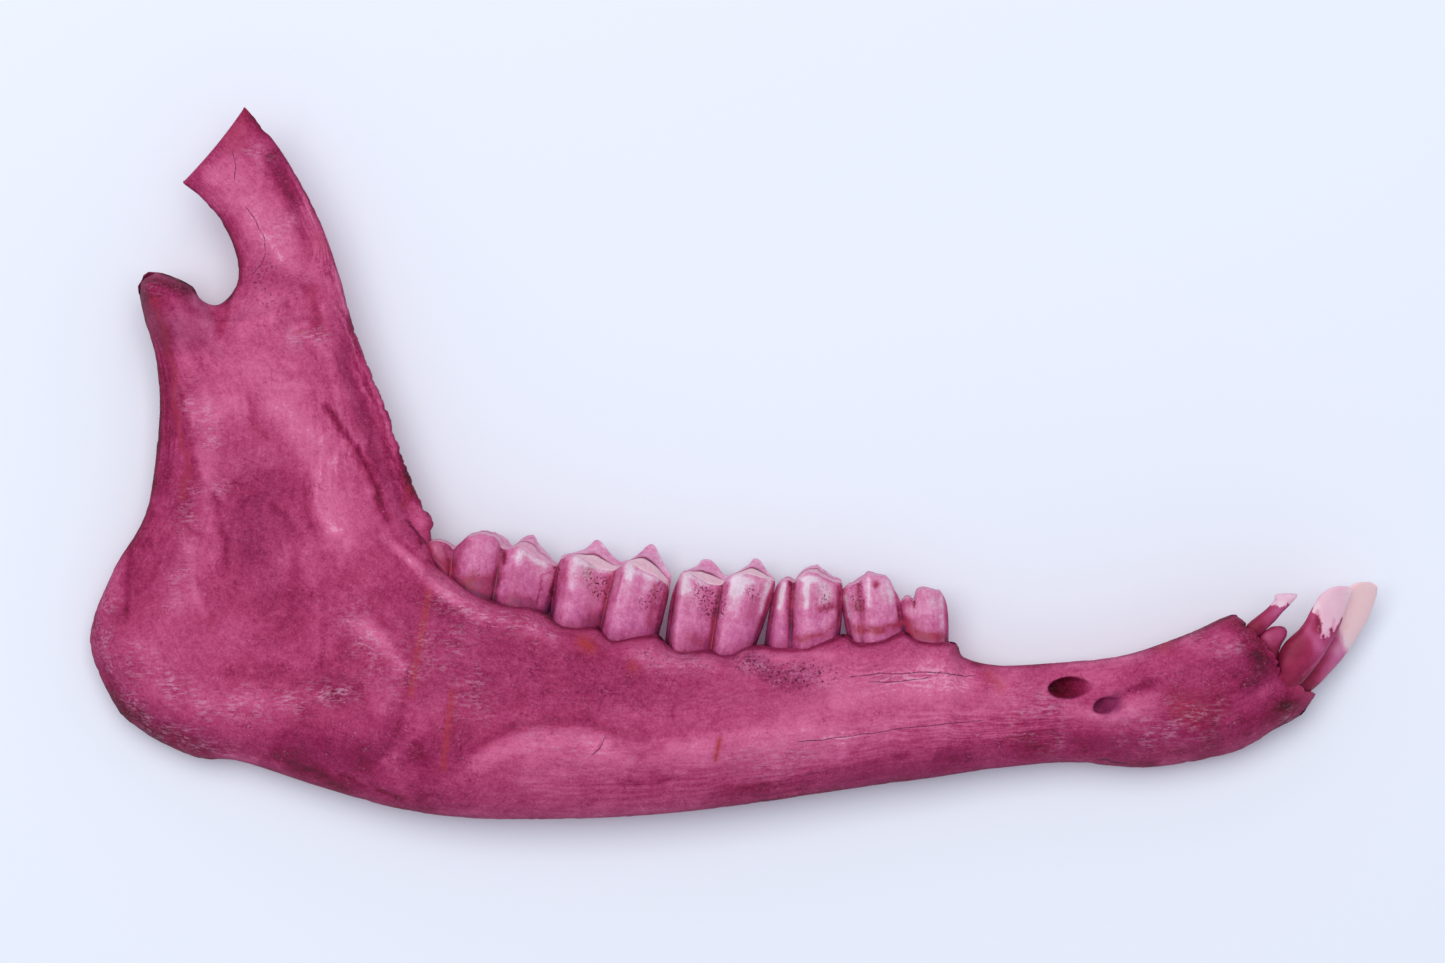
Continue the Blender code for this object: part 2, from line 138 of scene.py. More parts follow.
camera_data = bpy.data.cameras.new("camera")
camera_data.sensor_width = SENSOR_WIDTH
camera_data.lens = SENSOR_WIDTH * LENS_HEIGHT / PICTURE_WIDTH
camera = bpy.data.objects.new("camera", camera_data)
camera.location = (LOOK_AT[0], LOOK_AT[1], LOOK_AT[2] + LENS_HEIGHT)
bpy.context.scene.collection.objects.link(camera)
bpy.context.scene.camera = camera
bpy.context.scene.view_settings.view_transform = "Standard"


# The bone: the right half of the lower jaw, dry bone dyed magenta. It is one closed skin of ribs that
# run from the lower or back edge over the cheek side to the upper or front edge and back underneath.
# Ribs bend round the condyle, so that the joint head grows out of the branch without a seam.

MM = 0.001
BONE_ROWS = 552
FACE_STRIPS = 88
STEPS_PER_RIB = 60  # finer places along the bone, from which those of the rows are picked
EVEN_SPACING = 0.45  # share of the strips that is spaced evenly; the rest crowds towards the edges
HOLES_X, HOLES_REACH = 45.5, 5.0  # where the two small holes are, and how far the rows crowd about them
HOLE_CROWDING = 1.3  # how much closer the rows lie there
MEAN_WIDTH = 24.0  # millimetres across the bone, for the pattern of its fibres

# Ribs: name, lower or back end, bend (None where the rib is straight), upper or front end
RIBS = (
    ("incisor margin", (75.8, -30.1), None, (66.3, -20.5)),
    ("margin heel", (73.9, -32.7), None, (65.4, -19.9)),
    ("chin", (70.4, -34.7), None, (64.2, -19.6)),
    ("chin hollow", (65.2, -37.6), None, (59.2, -21.9)),
    ("symphysis heel", (54.1, -39.6), None, (50.9, -24.8)),
    ("mental foramen", (43.7, -38.9), None, (42.4, -25.8)),
    ("diastema", (34.6, -39.6), None, (34.6, -26.2)),
    ("rise", (28.8, -40.4), None, (30.0, -25.2)),
    ("front of P2", (25.5, -40.9), None, (27.9, -23.2)),
    ("P3", (15.1, -42.3), None, (18.0, -23.0)),
    ("P4", (1.5, -44.3), None, (4.1, -24.1)),
    ("M1", (-10.2, -45.6), None, (-4.4, -24.4)),
    ("M2", (-22.6, -46.2), None, (-15.4, -22.2)),
    ("M3", (-34.3, -46.1), None, (-26.5, -18.7)),
    ("M3 heel", (-44.0, -44.8), None, (-33.6, -15.8)),
    ("behind M3", (-53.8, -42.1), None, (-38.2, -12.6)),
    ("vessel notch", (-64.2, -38.8), None, (-39.35, -9.3)),
    ("flake", (-69.2, -38.45), None, (-39.0, -7.7)),
    ("angle front", (-73.3, -36.95), None, (-40.3, -5.7)),
    ("angle round", (-77.6, -34.5), None, (-41.2, -3.9)),
    ("angle low", (-80.8, -31.1), None, (-42.0, -2.0)),
    ("angle", (-83.8, -22.9), None, (-43.3, 1.6)),
    ("angle high", (-80.8, -14.1), None, (-44.7, 5.8)),
    ("branch low", (-76.4, -6.3), None, (-46.2, 9.4)),
    ("branch waist", (-74.7, 4.4), None, (-48.2, 14.4)),
    ("neck back", (-74.6, 9.5), (-64.0, 11.0), (-48.9, 16.6)),
    ("neck", (-75.1, 14.2), (-68.0, 12.5), (-49.5, 18.4)),
    ("head low", (-76.4, 18.9), (-69.5, 13.0), (-49.9, 19.9)),
    ("head back", (-77.0, 22.4), (-70.5, 12.8), (-50.2, 21.1)),
    ("head corner", (-76.7, 23.8), (-70.6, 12.7), (-50.35, 21.6)),
    ("head crown", (-75.6, 24.7), (-70.6, 12.6), (-50.5, 22.2)),
    ("head top", (-74.4, 24.75), (-70.5, 12.7), (-50.6, 22.6)),
    ("head front", (-72.4, 24.1), (-70.3, 12.9), (-50.7, 23.1)),
    ("head shoulder", (-70.2, 23.0), (-69.8, 13.4), (-50.9, 23.8)),
    ("notch back", (-69.2, 21.4), (-68.6, 14.6), (-51.2, 24.7)),
    ("notch floor", (-67.2, 20.5), (-66.0, 17.0), (-51.6, 26.0)),
    ("notch bend", (-65.3, 21.7), None, (-52.4, 28.4)),
    ("notch front", (-64.1, 24.4), None, (-53.9, 32.2)),
    ("coronoid root", (-65.2, 29.3), None, (-56.3, 36.8)),
    ("coronoid", (-68.4, 33.9), None, (-59.2, 41.4)),
    ("coronoid tip", (-71.0, 36.1), (-66.5, 40.6), (-62.9, 45.9)),
)

# Line where the skin of the bone meets the outer walls of the cheek teeth, from the branch forwards
GUM_LINE = (
    (-39.5, -12.5), (-37.0, -14.4), (-34.0, -16.4), (-32.0, -17.6), (-30.0, -18.3), (-28.0, -18.5),
    (-26.3, -18.7), (-25.0, -19.2), (-23.7, -20.1), (-22.5, -21.0), (-20.0, -21.4), (-17.5, -21.2),
    (-16.8, -22.2), (-15.5, -23.1), (-13.5, -22.7), (-12.0, -22.5), (-9.8, -22.4), (-9.3, -22.9),
    (-8.4, -24.0), (-6.5, -24.6), (-3.2, -24.3), (-2.4, -24.6), (-1.0, -25.0), (0.3, -24.7), (1.2, -24.0),
    (4.2, -23.8), (5.0, -24.1), (7.6, -24.2), (9.5, -24.1), (11.5, -23.4), (13.6, -22.6), (14.5, -22.3),
    (15.3, -23.2), (16.5, -23.6), (19.5, -23.1), (21.3, -22.3), (22.3, -22.1), (23.5, -23.1), (25.5, -23.4),
    (27.8, -23.5),
)
GUM_LIP = 0.4  # how far the edge of the bone stands up behind that line
# How far the broken front edge lies behind a straight one, from its lower end (0) to its upper end (1)
MARGIN_BREAK = (
    (0.00, 0.00), (0.015, 0.15), (0.04, 1.35), (0.09, 1.00), (0.14, 1.15), (0.175, 2.20), (0.22, 2.15),
    (0.30, 1.90), (0.38, 1.60), (0.42, 1.10), (0.47, 1.05), (0.57, 0.60), (0.62, 0.70), (0.68, 0.30),
    (0.77, 0.15), (0.84, 0.40), (0.90, 0.20), (0.94, 0.75), (0.97, 0.70), (0.985, 0.10), (1.00, 0.00),
)

# Depth of the bone at some ribs: height of the lower edge and of the upper edge, of the outer face
# and of the inner face half way between them, and how far the rounding of each edge reaches in
DEPTHS = {
    "incisor margin": (5.0, 9.6, 12.0, 3.6, 5.0, 2.6),
    "chin": (4.4, 9.6, 12.5, 2.7, 6.0, 3.2),
    "chin hollow": (4.0, 9.2, 12.6, 1.2, 7.0, 4.0),
    "symphysis heel": (4.0, 8.5, 12.0, -0.3, 7.0, 5.2),
    "mental foramen": (5.4, 8.0, 11.2, 1.4, 6.6, 5.6),
    "diastema": (6.0, 7.8, 10.8, 2.4, 6.6, 5.6),
    "front of P2": (6.4, 8.0, 12.2, 2.5, 8.0, 3.0),
    "P4": (7.0, 8.9, 14.6, 2.0, 10.5, 2.2),
    "M2": (7.0, 9.2, 15.4, 1.5, 11.5, 2.4),
    "M3": (6.4, 9.4, 15.4, 0.9, 11.5, 3.0),
    "M3 heel": (5.6, 9.2, 14.8, 0.1, 10.5, 4.0),
    "vessel notch": (4.4, 8.6, 12.0, 0.8, 8.0, 5.0),
    "angle low": (4.4, 8.4, 10.0, 2.3, 5.0, 4.5),
    "angle": (4.6, 8.4, 9.6, 2.8, 4.6, 4.5),
    "branch low": (6.0, 8.6, 10.8, 3.5, 5.4, 4.5),
    "branch waist": (7.0, 8.9, 11.2, 4.6, 5.0, 4.5),
    "neck": (7.8, 9.1, 11.2, 5.4, 4.2, 4.2),
    "head back": (8.6, 9.3, 11.4, 5.8, 3.4, 4.0),
    "head shoulder": (8.8, 9.4, 11.4, 6.0, 3.2, 4.0),
    "notch floor": (9.0, 9.6, 11.9, 7.3, 3.0, 4.0),
    "coronoid root": (10.2, 10.7, 12.8, 9.0, 2.8, 3.5),
    "coronoid tip": (11.7, 12.2, 13.0, 11.0, 2.0, 2.2),
}

# Marks on a face are soft bells about a line: X and Y of the points along it (one for a spot), half
# width, amount, and, where the bell is flatter than usual, the power of its fall. Here the amount is a
# height in millimetres, so a negative one is a groove or a hollow.
OUTER_RELIEF = (
    # crease beside the crest, V-shaped ridge and its hollow under the notch, creases of the chewing muscle
    (-52.6, 7.2, -51, 4.4, -49.2, 2, -47.9, -0.5, -46.4, -3.6, -45, -7.4, 0.4, -0.4),
    (-68.6, 19.8, -67.3, 15.8, 0.6, 0.28), (-64.3, 21.6, -65.3, 18.4, -66.6, 14.6, 0.7, 0.34),
    (-67, 19, -66.2, 16.4, 0.8, -0.3), (-67.1, -4.2, -66.4, -7.4, -65.8, -10.6, -66.1, -14.4, 0.4, -0.32),
    (-59.8, -5.4, -57.4, -8.2, 0.4, -0.22), (-53.2, -15.4, -52.9, -21, -53.6, -26.4, 0.4, -0.22),
    (-54.4, -1, -54.4, -6.4, -52.6, -9.2, -49.8, -10.6, 0.7, 0.3), (-54.9, 22, -53.9, 17.4, 0.9, -0.35),
    (-50.4, -40.3, -47.4, -41.8, -42.6, -43.8, 0.35, -0.25), (-42.3, -7.4, -40.4, -10.4, 0.25, -0.3),
    (-43.8, -9.6, -40.4, -12.6, -37.6, -14.9, 0.6, -0.35),
    # crest from the coronoid process to the gum line, and the hollow between it and the front edge
    (-53, 19.5, -50.5, 8.3, -47.3, -1, -43.6, -9.2, -38.6, -15.6, -31, -19.8, 2.4, 1.2),
    (-49.3, 13, -45.9, 4.4, -42.9, -3.4, -40.6, -9.4, 1.9, -2),
    (-51.6, 6, -48.4, 0.8, -45.2, -6, -44.2, -8.2, 0.6, -0.45),
    # swelling along the lower half of the body, and its sharper upper lip
    (-36, -41, -17.4, -38.4, 8.6, -36.6, 34.6, -34, 4.6, 0.6),
    (-31, -37.6, -21, -36.9, -13, -38.4, -4, -37, 10, -35, 28, -30.5, 2.2, 0.45),
    # coronoid process: groove along the front, raised middle
    (-59.6, 39.5, -56.6, 33, -54.4, 26.5, 1.5, -0.6), (-65.5, 38.5, -60.5, 30, 2, 0.25),
    # rim round the chewing muscle's hollow, low on the angle, and the front border of the muscle
    (-79, -24, -74, -31.5, -62, -34.6, -48, -35.5, -42, -27, 3, 0.8),
    (-43, -24.5, -42.6, -32, -46, -38.5, 0.9, -0.35),
    # hollows that the chewing muscle leaves
    (-62.5, -17, -62.5, -6, 8.5, -1.5), (-66, 10, -66, 17, 4.5, -0.5),
    (-36, -31, -22, -31.5, -6, -31.8, 4.2, -0.6),
    # low ridges on the branch: under the joint notch, down the back border, muscle scars
    (-69.2, 20, -66.6, 15.2, -63.4, 21, 0.9, 0.35), (-73, 17, -71.2, 8, -70.2, 0, 0.8, 0.3),
    (-74, 15, -73.4, 4, 1, -0.25), (-68.5, 9, -68.3, -2, 1.4, 0.35),
    (-67.2, -2.5, -65.3, -6, -67.4, -9, -66, -12, 0.7, 0.32),
    (-64.6, -5, -67, -11, -68.6, -16, -65.6, -20.5, 0.8, 0.26),
    (-63, -1, -58.5, -6, -57.5, -14, 1.3, -0.3), (-60, -3.5, -61.5, -9, -59.5, -15, 0.7, 0.24),
    (-59.5, 14.2, -56.8, 16.4, -53.9, 14.4, -55, 11.6, 0.8, 0.22), (-56.8, 13.8, 1.2, -0.25),
    (-78, -24.5, -69, -30.6, -57.5, -31, -50, -29, 1.1, 0.3), (-75, -23, -69, -20.6, -66, -15, 1, 0.22),
    (-80.5, -16, -81.5, -23, -77, -31, 1.4, 0.22),
    # root sockets swell under the gum line
    (-27, -23.5, -14, -27, 2, -28.5, 20, -27.5, 3, 0.5), (-27.6, -20.6, 1.4, 0.35),
    (-21, -23, -20, -26, 1.3, 0.3), (-15.2, -24.6, -14.6, -27.5, 1.3, 0.35),
    (-6.6, -26, -6.4, -28.5, 1.3, 0.3), (-1, -26.4, -0.4, -29, 1.2, 0.32),
    (9.4, -25.8, 9.6, -28, 1.6, 0.25), (18, -25, 18.4, -27, 1.5, 0.22),
    # lip of the two small holes, the vessel groove forward of them, hollows of the chin
    (44, -31.9, 48, -33, 53, -31.3, 0.9, 0.3), (40.2, -28.6, 41.5, -31, 0.9, 0.15),
    (49.4, -30.7, 51.6, -29.3, 54.2, -28.5, 0.7, -0.45), (61, -31, 66, -31.5, 2.4, -0.35),
    (58, -36, 63, -34.6, 1.6, 0.25), (66, -24, 69.5, -27, 1.2, -0.3),
)
INNER_RELIEF = (
    # above the flat joint of the chin, and the floor-of-mouth ridge under the cheek teeth
    (44, -30, 54, -29.5, 64, -27, 3, -1.5), (-34, -26, -10, -31, 16, -33, 2.4, 0.7),
    # hollows of the inner muscles, and the canal's groove
    (-66, -12, -66, -4, 7, 0.9), (-60, 9, -60, 15, 4.5, 0.5), (-57, -1, -50, -9, -42, -16, 1, -0.35),
)
# Line under the molars along which the bone is pitted, and how far the pits spread from it
PITTED_LINE = ((-40.0, -27.0), (-12.0, -30.0))
PITTED_HALF_WIDTH = 6.0
# The joint head: a roller that stands out on both faces at the top of the neck
HEAD_LINE = ((-73.4, 22.4), (-71.6, 14.0))
HEAD_HALF_WIDTH = 4.3
HEAD_SQUARENESS = 0.6  # added to the power of the edges' rounding, which is 2 for an ellipse
HEAD_FOOT, HEAD_CROWN = 13.5, 21.0  # Y where the roller starts to swell and where it is full
HEAD_OUTER, HEAD_INNER = 6.9, 6.0  # swelling beyond the neck on each face
# Holes: middle, half length, half width, turn in degrees, depth at the back end and at the front end
FORAMINA = (
    ((43.7, -29.0), 2.95, 1.42, 4.0, 4.2, 0.25),
    ((48.2, -31.2), 1.75, 1.05, 22.0, 1.9, 0.20),
)
INNER_FORAMEN = ((-58.2, 2.4), 3.4, 1.7, -50.0, 3.0, 0.6)
HOLE_TAPER = 0.3  # how much a hole narrows towards its front end
HOLE_WALL = (1.08, 0.74)  # where its wall starts and where it ends, as shares of the oval
HOLE_RISE = (-0.55, 1.0)  # from where to where its floor rises, in half lengths from the middle
UNDERCUT = 0.28  # how far a hole leans in under its lip, as a share of its depth
# Roughness of the faces: height and cell size in millimetres
WAVE_HEIGHT, WAVE_CELL = 0.1, 3.2
ROUGH_HEIGHT, ROUGH_CELL = 0.05, 0.9
PITS_HEIGHT, PITS_CELL = 0.06, 0.7
INNER_HEIGHT, INNER_CELL = 0.1, 3.0
# Notches in the edges, in millimetres: everywhere, more round the coronoid process, and along the thin
# front edge, which also has a fine saw and stands out between its notches
NOTCH_CELL, SAW_CELL = 1.6, 0.55
NOTCHES, TOP_NOTCHES = 0.08, 0.1
THIN_NOTCHES, THIN_SAW, THIN_STANDS_OUT = 0.2, 0.24, 0.22
# The broken front edge, in millimetres: how far in its shape fades out, and how deep, how long and how
# far in its crumbs are
MARGIN_REACH = 7
CRUMB_DEPTH, CRUMB_CELL, CRUMB_REACH = 0.55, 0.9, 0.7


def curve_through(knots, values, at):
    """Cubic curve through the values at the knots, its slopes taken from the neighbouring knots."""
    knots, values, at = np.asarray(knots, float), np.asarray(values, float), np.asarray(at, float)
    slopes = np.gradient(values, knots, axis=0)
    i = np.clip(np.searchsorted(knots, at, side="right") - 1, 0, len(knots) - 2)
    span = (knots[i + 1] - knots[i])[:, None]
    t = (at - knots[i])[:, None] / span
    return (
        values[i] * (2 * t**3 - 3 * t**2 + 1)
        + slopes[i] * span * (t**3 - 2 * t**2 + t)
        + values[i + 1] * (3 * t**2 - 2 * t**3)
        + slopes[i + 1] * span * (t**3 - t**2)
    )


def smooth_step(value, low, high):
    """0 below low, 1 above high, and 3t^2 - 2t^3 between; low may be the larger."""
    t = np.clip((value - low) / (high - low), 0, 1)
    return t * t * (3 - 2 * t)


def hill(value, middle, width, power=2):
    """exp(-((value - middle) / width)^power): 1 at the middle, falling off on both sides."""
    return np.exp(-(((value - middle) / width) ** power))


def distance_to_line(x, y, points):
    """Shortest distance from each place to a line through the points, or to a single point."""
    nearest = np.full(np.shape(x), np.inf)
    following = points[1:] if len(points) > 1 else points
    for (x0, y0), (x1, y1) in zip(points, following):
        dx, dy = x1 - x0, y1 - y0
        t = np.clip(((x - x0) * dx + (y - y0) * dy) / max(dx * dx + dy * dy, 1e-9), 0, 1)
        nearest = np.minimum(nearest, np.hypot(x - x0 - t * dx, y - y0 - t * dy))
    return nearest


def bells(x, y, marks):
    """Sum of the marks: the amount of each, times a hill over the distance to its line, of power 2 where
    the mark gives none. Half width and amount follow an even count of coordinates, so a mark of odd
    length ends with a power."""
    total = np.zeros(np.shape(x))
    for mark in marks:
        *line, half_width, amount, power = mark if len(mark) % 2 else (*mark, 2)
        away = distance_to_line(x, y, list(zip(line[::2], line[1::2])))
        total += amount * hill(away, 0, half_width, power)
    return total


def lattice_noise(points, cell, seed):
    """Smooth random field from -1 to 1: hashed values at the corners of cubes of that cell size, blended
    between the eight corners by 3t^2 - 2t^3."""
    place = np.asarray(points) / cell
    corner = np.floor(place).astype(np.int64)
    t = place - corner
    t = t * t * (3 - 2 * t)
    total = np.zeros(place.shape[:-1])
    for i in range(8):
        step = np.array([i & 1, i >> 1 & 1, i >> 2 & 1])
        key = (corner + step) @ np.array([73856093, 19349663, 83492791]) + seed * 26544357
        key = (key ^ key >> 13) * 1274126177 & 0xFFFFFFFF
        key = (key ^ key >> 15) * 668265263 & 0xFFFFFFFF
        value = (key >> 8 & 0xFFFF) / 32767.5 - 1
        total += value * np.prod(np.where(step, t, 1 - t), axis=-1)
    return total


def layered_noise(points, cell, seed, layers=3):
    """Sum of noise layers, each with half the cell and half the strength of the one before."""
    return sum(lattice_noise(points, cell / 2**k, seed + k) / 2**k for k in range(layers))


def rib_rows():
    """Rows of the bone as places along RIBS, spaced by the distance that the ribs' ends and bends travel,
    and closer together beside the small holes."""
    ends = np.array([(*a, *(bend or ((a[0] + b[0]) / 2, (a[1] + b[1]) / 2)), *b) for _, a, bend, b in RIBS])
    knots = np.arange(len(RIBS))
    fine = np.linspace(0, knots[-1], STEPS_PER_RIB * len(RIBS))
    track = curve_through(knots, ends, fine)
    travel = np.linalg.norm(np.diff(track.reshape(-1, 3, 2), axis=0), axis=2).mean(axis=1)
    travel *= 1 + HOLE_CROWDING * hill(track[1:, 2], HOLES_X, HOLES_REACH, 4)
    travelled = np.concatenate([[0], np.cumsum(travel)])
    places = np.interp(np.linspace(0, travelled[-1], BONE_ROWS), travelled, fine)
    depth = curve_through([i for i in knots if RIBS[i][0] in DEPTHS], list(DEPTHS.values()), places)
    track = curve_through(knots, ends, places)
    names = [name for name, *_ in RIBS]
    front, back = names.index("front of P2"), names.index("behind M3")
    beside_teeth = smooth_step(places, front - 0.5, front) * smooth_step(places, back + 0.3, back - 0.4)
    rise = beside_teeth * (np.interp(track[:, 4], *np.transpose(GUM_LINE)) + GUM_LIP - track[:, 5])
    track[:, 5] += rise
    track[:, 3] += rise / 2
    return track, depth, np.interp(places, fine, travelled)


def ragged_ends(track):
    """Moves the ends of the ribs in by a little noise, more along the thin front edge of the branch and
    round the coronoid process, so that the outline is that of weathered bone."""
    low, high = track[:, :2], track[:, 4:]
    across = (high - low) / np.linalg.norm(high - low, axis=1)[:, None]
    for end, sign, seed in ((low, 1, 3), (high, -1, 5)):
        at = np.column_stack([end, np.zeros(len(end))])
        chips = np.maximum(0, layered_noise(at, NOTCH_CELL, seed))
        thin = smooth_step(end[:, 0], -36.0, -40.0) * smooth_step(end[:, 1], 24.0, 8.0) if sign < 0 else 0.0
        broken = smooth_step(end[:, 1], 26.0, 30.0)
        saw = np.maximum(0, layered_noise(at, SAW_CELL, seed + 20, 2))
        cut = (THIN_NOTCHES * chips + THIN_SAW * saw - THIN_STANDS_OUT) * thin
        cut = chips * (NOTCHES + TOP_NOTCHES * broken) + cut
        end += sign * across * cut[:, None]
    return track


def hole_shape(x, y, hole):
    """Depth of a slanting hole and its share of the greatest depth: an oval with a steep wall at its back
    end, which narrows forwards while its floor rises to the surface."""
    (cx, cy), half_length, half_width, turn, greatest, front_depth = hole
    tilt = math.radians(turn)
    along = ((x - cx) * math.cos(tilt) + (y - cy) * math.sin(tilt)) / half_length
    across = ((y - cy) * math.cos(tilt) - (x - cx) * math.sin(tilt)) / half_width
    across = across / (1 - HOLE_TAPER * np.clip(along, 0, 1))
    inside = smooth_step(np.hypot(along, across), *HOLE_WALL)
    forward = smooth_step(along, *HOLE_RISE)
    depth = inside * (greatest + (front_depth - greatest) * forward)
    return depth, depth / greatest


def edge_rounding(distance, reach, power):
    """0 at an edge, 1 once the reach is passed: a quarter of an oval whose power is 2 for an ellipse."""
    return (1 - (1 - np.clip(distance / reach, 0, 1)) ** power) ** (1 / power)


def bone_surface():
    """Rings round the bone, rows by 2 * FACE_STRIPS, in millimetres, and for each point its distance
    along the jaw, its place across it, 1 on the outer face or -1 on the inner one, and how far an edge is.

    A rib is the quadratic curve (1-s)^2 A + 2s(1-s) C + s^2 B. Outer height = straight line between the
    edge heights + rounding * (outer depth + relief + joint head); inner height likewise downwards.
    """
    track, depth, along = rib_rows()
    track = ragged_ends(track)
    low_z, high_z, outer_z, inner_z, low_reach, high_reach = (depth[:, k, None] for k in range(6))
    u = np.arange(FACE_STRIPS + 1) / FACE_STRIPS
    s = EVEN_SPACING * u + (1 - EVEN_SPACING) * (1 - np.cos(np.pi * u)) / 2
    a, c, b = (track[:, None, k:k + 2] for k in (0, 2, 4))
    flat = (1 - s[:, None]) ** 2 * a + 2 * (s * (1 - s))[:, None] * c + s[:, None] ** 2 * b
    to_front = along[:, None]
    broken = np.interp(s, *np.transpose(MARGIN_BREAK)) * np.clip(1 - to_front / MARGIN_REACH, 0, 1) ** 2
    crumbs = np.maximum(0, layered_noise(flat[:1, :, [0, 1, 1]], CRUMB_CELL, 7, 2))
    crumbs = crumbs * np.exp(-to_front / CRUMB_REACH)
    flat = flat - np.stack([broken + CRUMB_DEPTH * crumbs, np.zeros_like(broken)], axis=2)
    x, y = flat[..., 0], flat[..., 1]

    head = smooth_step(y, HEAD_FOOT, HEAD_CROWN)
    head *= hill(distance_to_line(x, y, HEAD_LINE), 0, HEAD_HALF_WIDTH, 4)
    power = 2.0 + HEAD_SQUARENESS * head
    to_low = distance_to_line(x, y, track[::3, :2])
    to_high = distance_to_line(x, y, track[::3, 4:])
    round_off = edge_rounding(to_low, low_reach, power) * edge_rounding(to_high, high_reach, power)
    chord = low_z + s * (high_z - low_z)
    middle = (low_z + high_z) / 2

    places = np.stack([x, y, np.zeros_like(x)], axis=2)
    fine = WAVE_HEIGHT * layered_noise(places, WAVE_CELL, 11)
    fine += ROUGH_HEIGHT * layered_noise(places, ROUGH_CELL, 17, 2)
    pitted = hill(distance_to_line(x, y, PITTED_LINE), 0, PITTED_HALF_WIDTH)
    fine += PITS_HEIGHT * pitted * layered_noise(places, PITS_CELL, 23, 2)
    hole_depth, hole_inside = np.max([hole_shape(x, y, hole) for hole in FORAMINA], axis=0)
    outer = chord + round_off * (outer_z - middle + bells(x, y, OUTER_RELIEF) + HEAD_OUTER * head + fine)
    outer -= hole_depth
    undercut = x - UNDERCUT * hole_depth * hole_inside

    inner_hole, _ = hole_shape(x, y, INNER_FORAMEN)
    inner_marks = bells(x, y, INNER_RELIEF) + INNER_HEIGHT * layered_noise(places, INNER_CELL, 31)
    inner = chord - round_off * (middle - inner_z + inner_marks + HEAD_INNER * head) + inner_hole

    reached = np.broadcast_to(along[:, None], x.shape)
    lengthwise = np.broadcast_to(MEAN_WIDTH * s, x.shape)
    to_edge = np.minimum(to_low, to_high)
    outer_face = np.stack([undercut, y, outer, reached, lengthwise, np.ones_like(x), to_edge], axis=2)
    inner_face = np.stack([x, y, inner, reached, lengthwise, -np.ones_like(x), to_edge], axis=2)
    return np.concatenate([outer_face, inner_face[:, ::-1][:, 1:-1]], axis=1)


def end_rows(ring, before, steps):
    """Rows that close an open end. Each step makes the ring thinner and narrower by two shares, and moves
    it on by a length, away from the ring before."""
    strips = FACE_STRIPS
    mirror = (-np.arange(2 * strips)) % (2 * strips)
    middle = (ring + ring[mirror]) / 2
    centre = middle.mean(axis=0)
    away = (ring - before)[:, :3].mean(axis=0)
    away[2] = 0
    away /= np.linalg.norm(away)
    rows = []
    for thin, narrow, on in steps:
        row = middle + (1 - thin) * (ring - middle)
        row[:, :3] = centre[:3] + (1 - narrow) * (row[:, :3] - centre[:3]) + on * away
        rows.append(row)
    return rows


def grid_faces(rows, around):
    """Quads between consecutive rows of a closed ring, wound to face outwards."""
    i, j = np.meshgrid(np.arange(rows - 1), np.arange(around), indexing="ij")
    next_j = (j + 1) % around
    row, next_row = i * around, (i + 1) * around
    return np.stack([row + j, next_row + j, next_row + next_j, row + next_j], axis=-1).reshape(-1, 4)


def new_piece(name, points, faces, material, attributes):
    """Mesh object from points in millimetres and faces, smooth shaded, with named point attributes."""
    mesh = bpy.data.meshes.new(name)
    mesh.from_pydata(np.clip(points * MM, cad_low, cad_high), [], [face.tolist() for face in faces])
    mesh.materials.append(material)
    mesh.shade_smooth()
    for key, values in attributes.items():
        kind, field = ("FLOAT", "value") if values.ndim == 1 else ("FLOAT_VECTOR", "vector")
        mesh.attributes.new(key, kind, "POINT").data.foreach_set(field, values.astype(np.float32).ravel())
    piece = bpy.data.objects.new(name, mesh)
    bpy.context.scene.collection.objects.link(piece)
    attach(piece, "root")
    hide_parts("jawbone")
    return piece


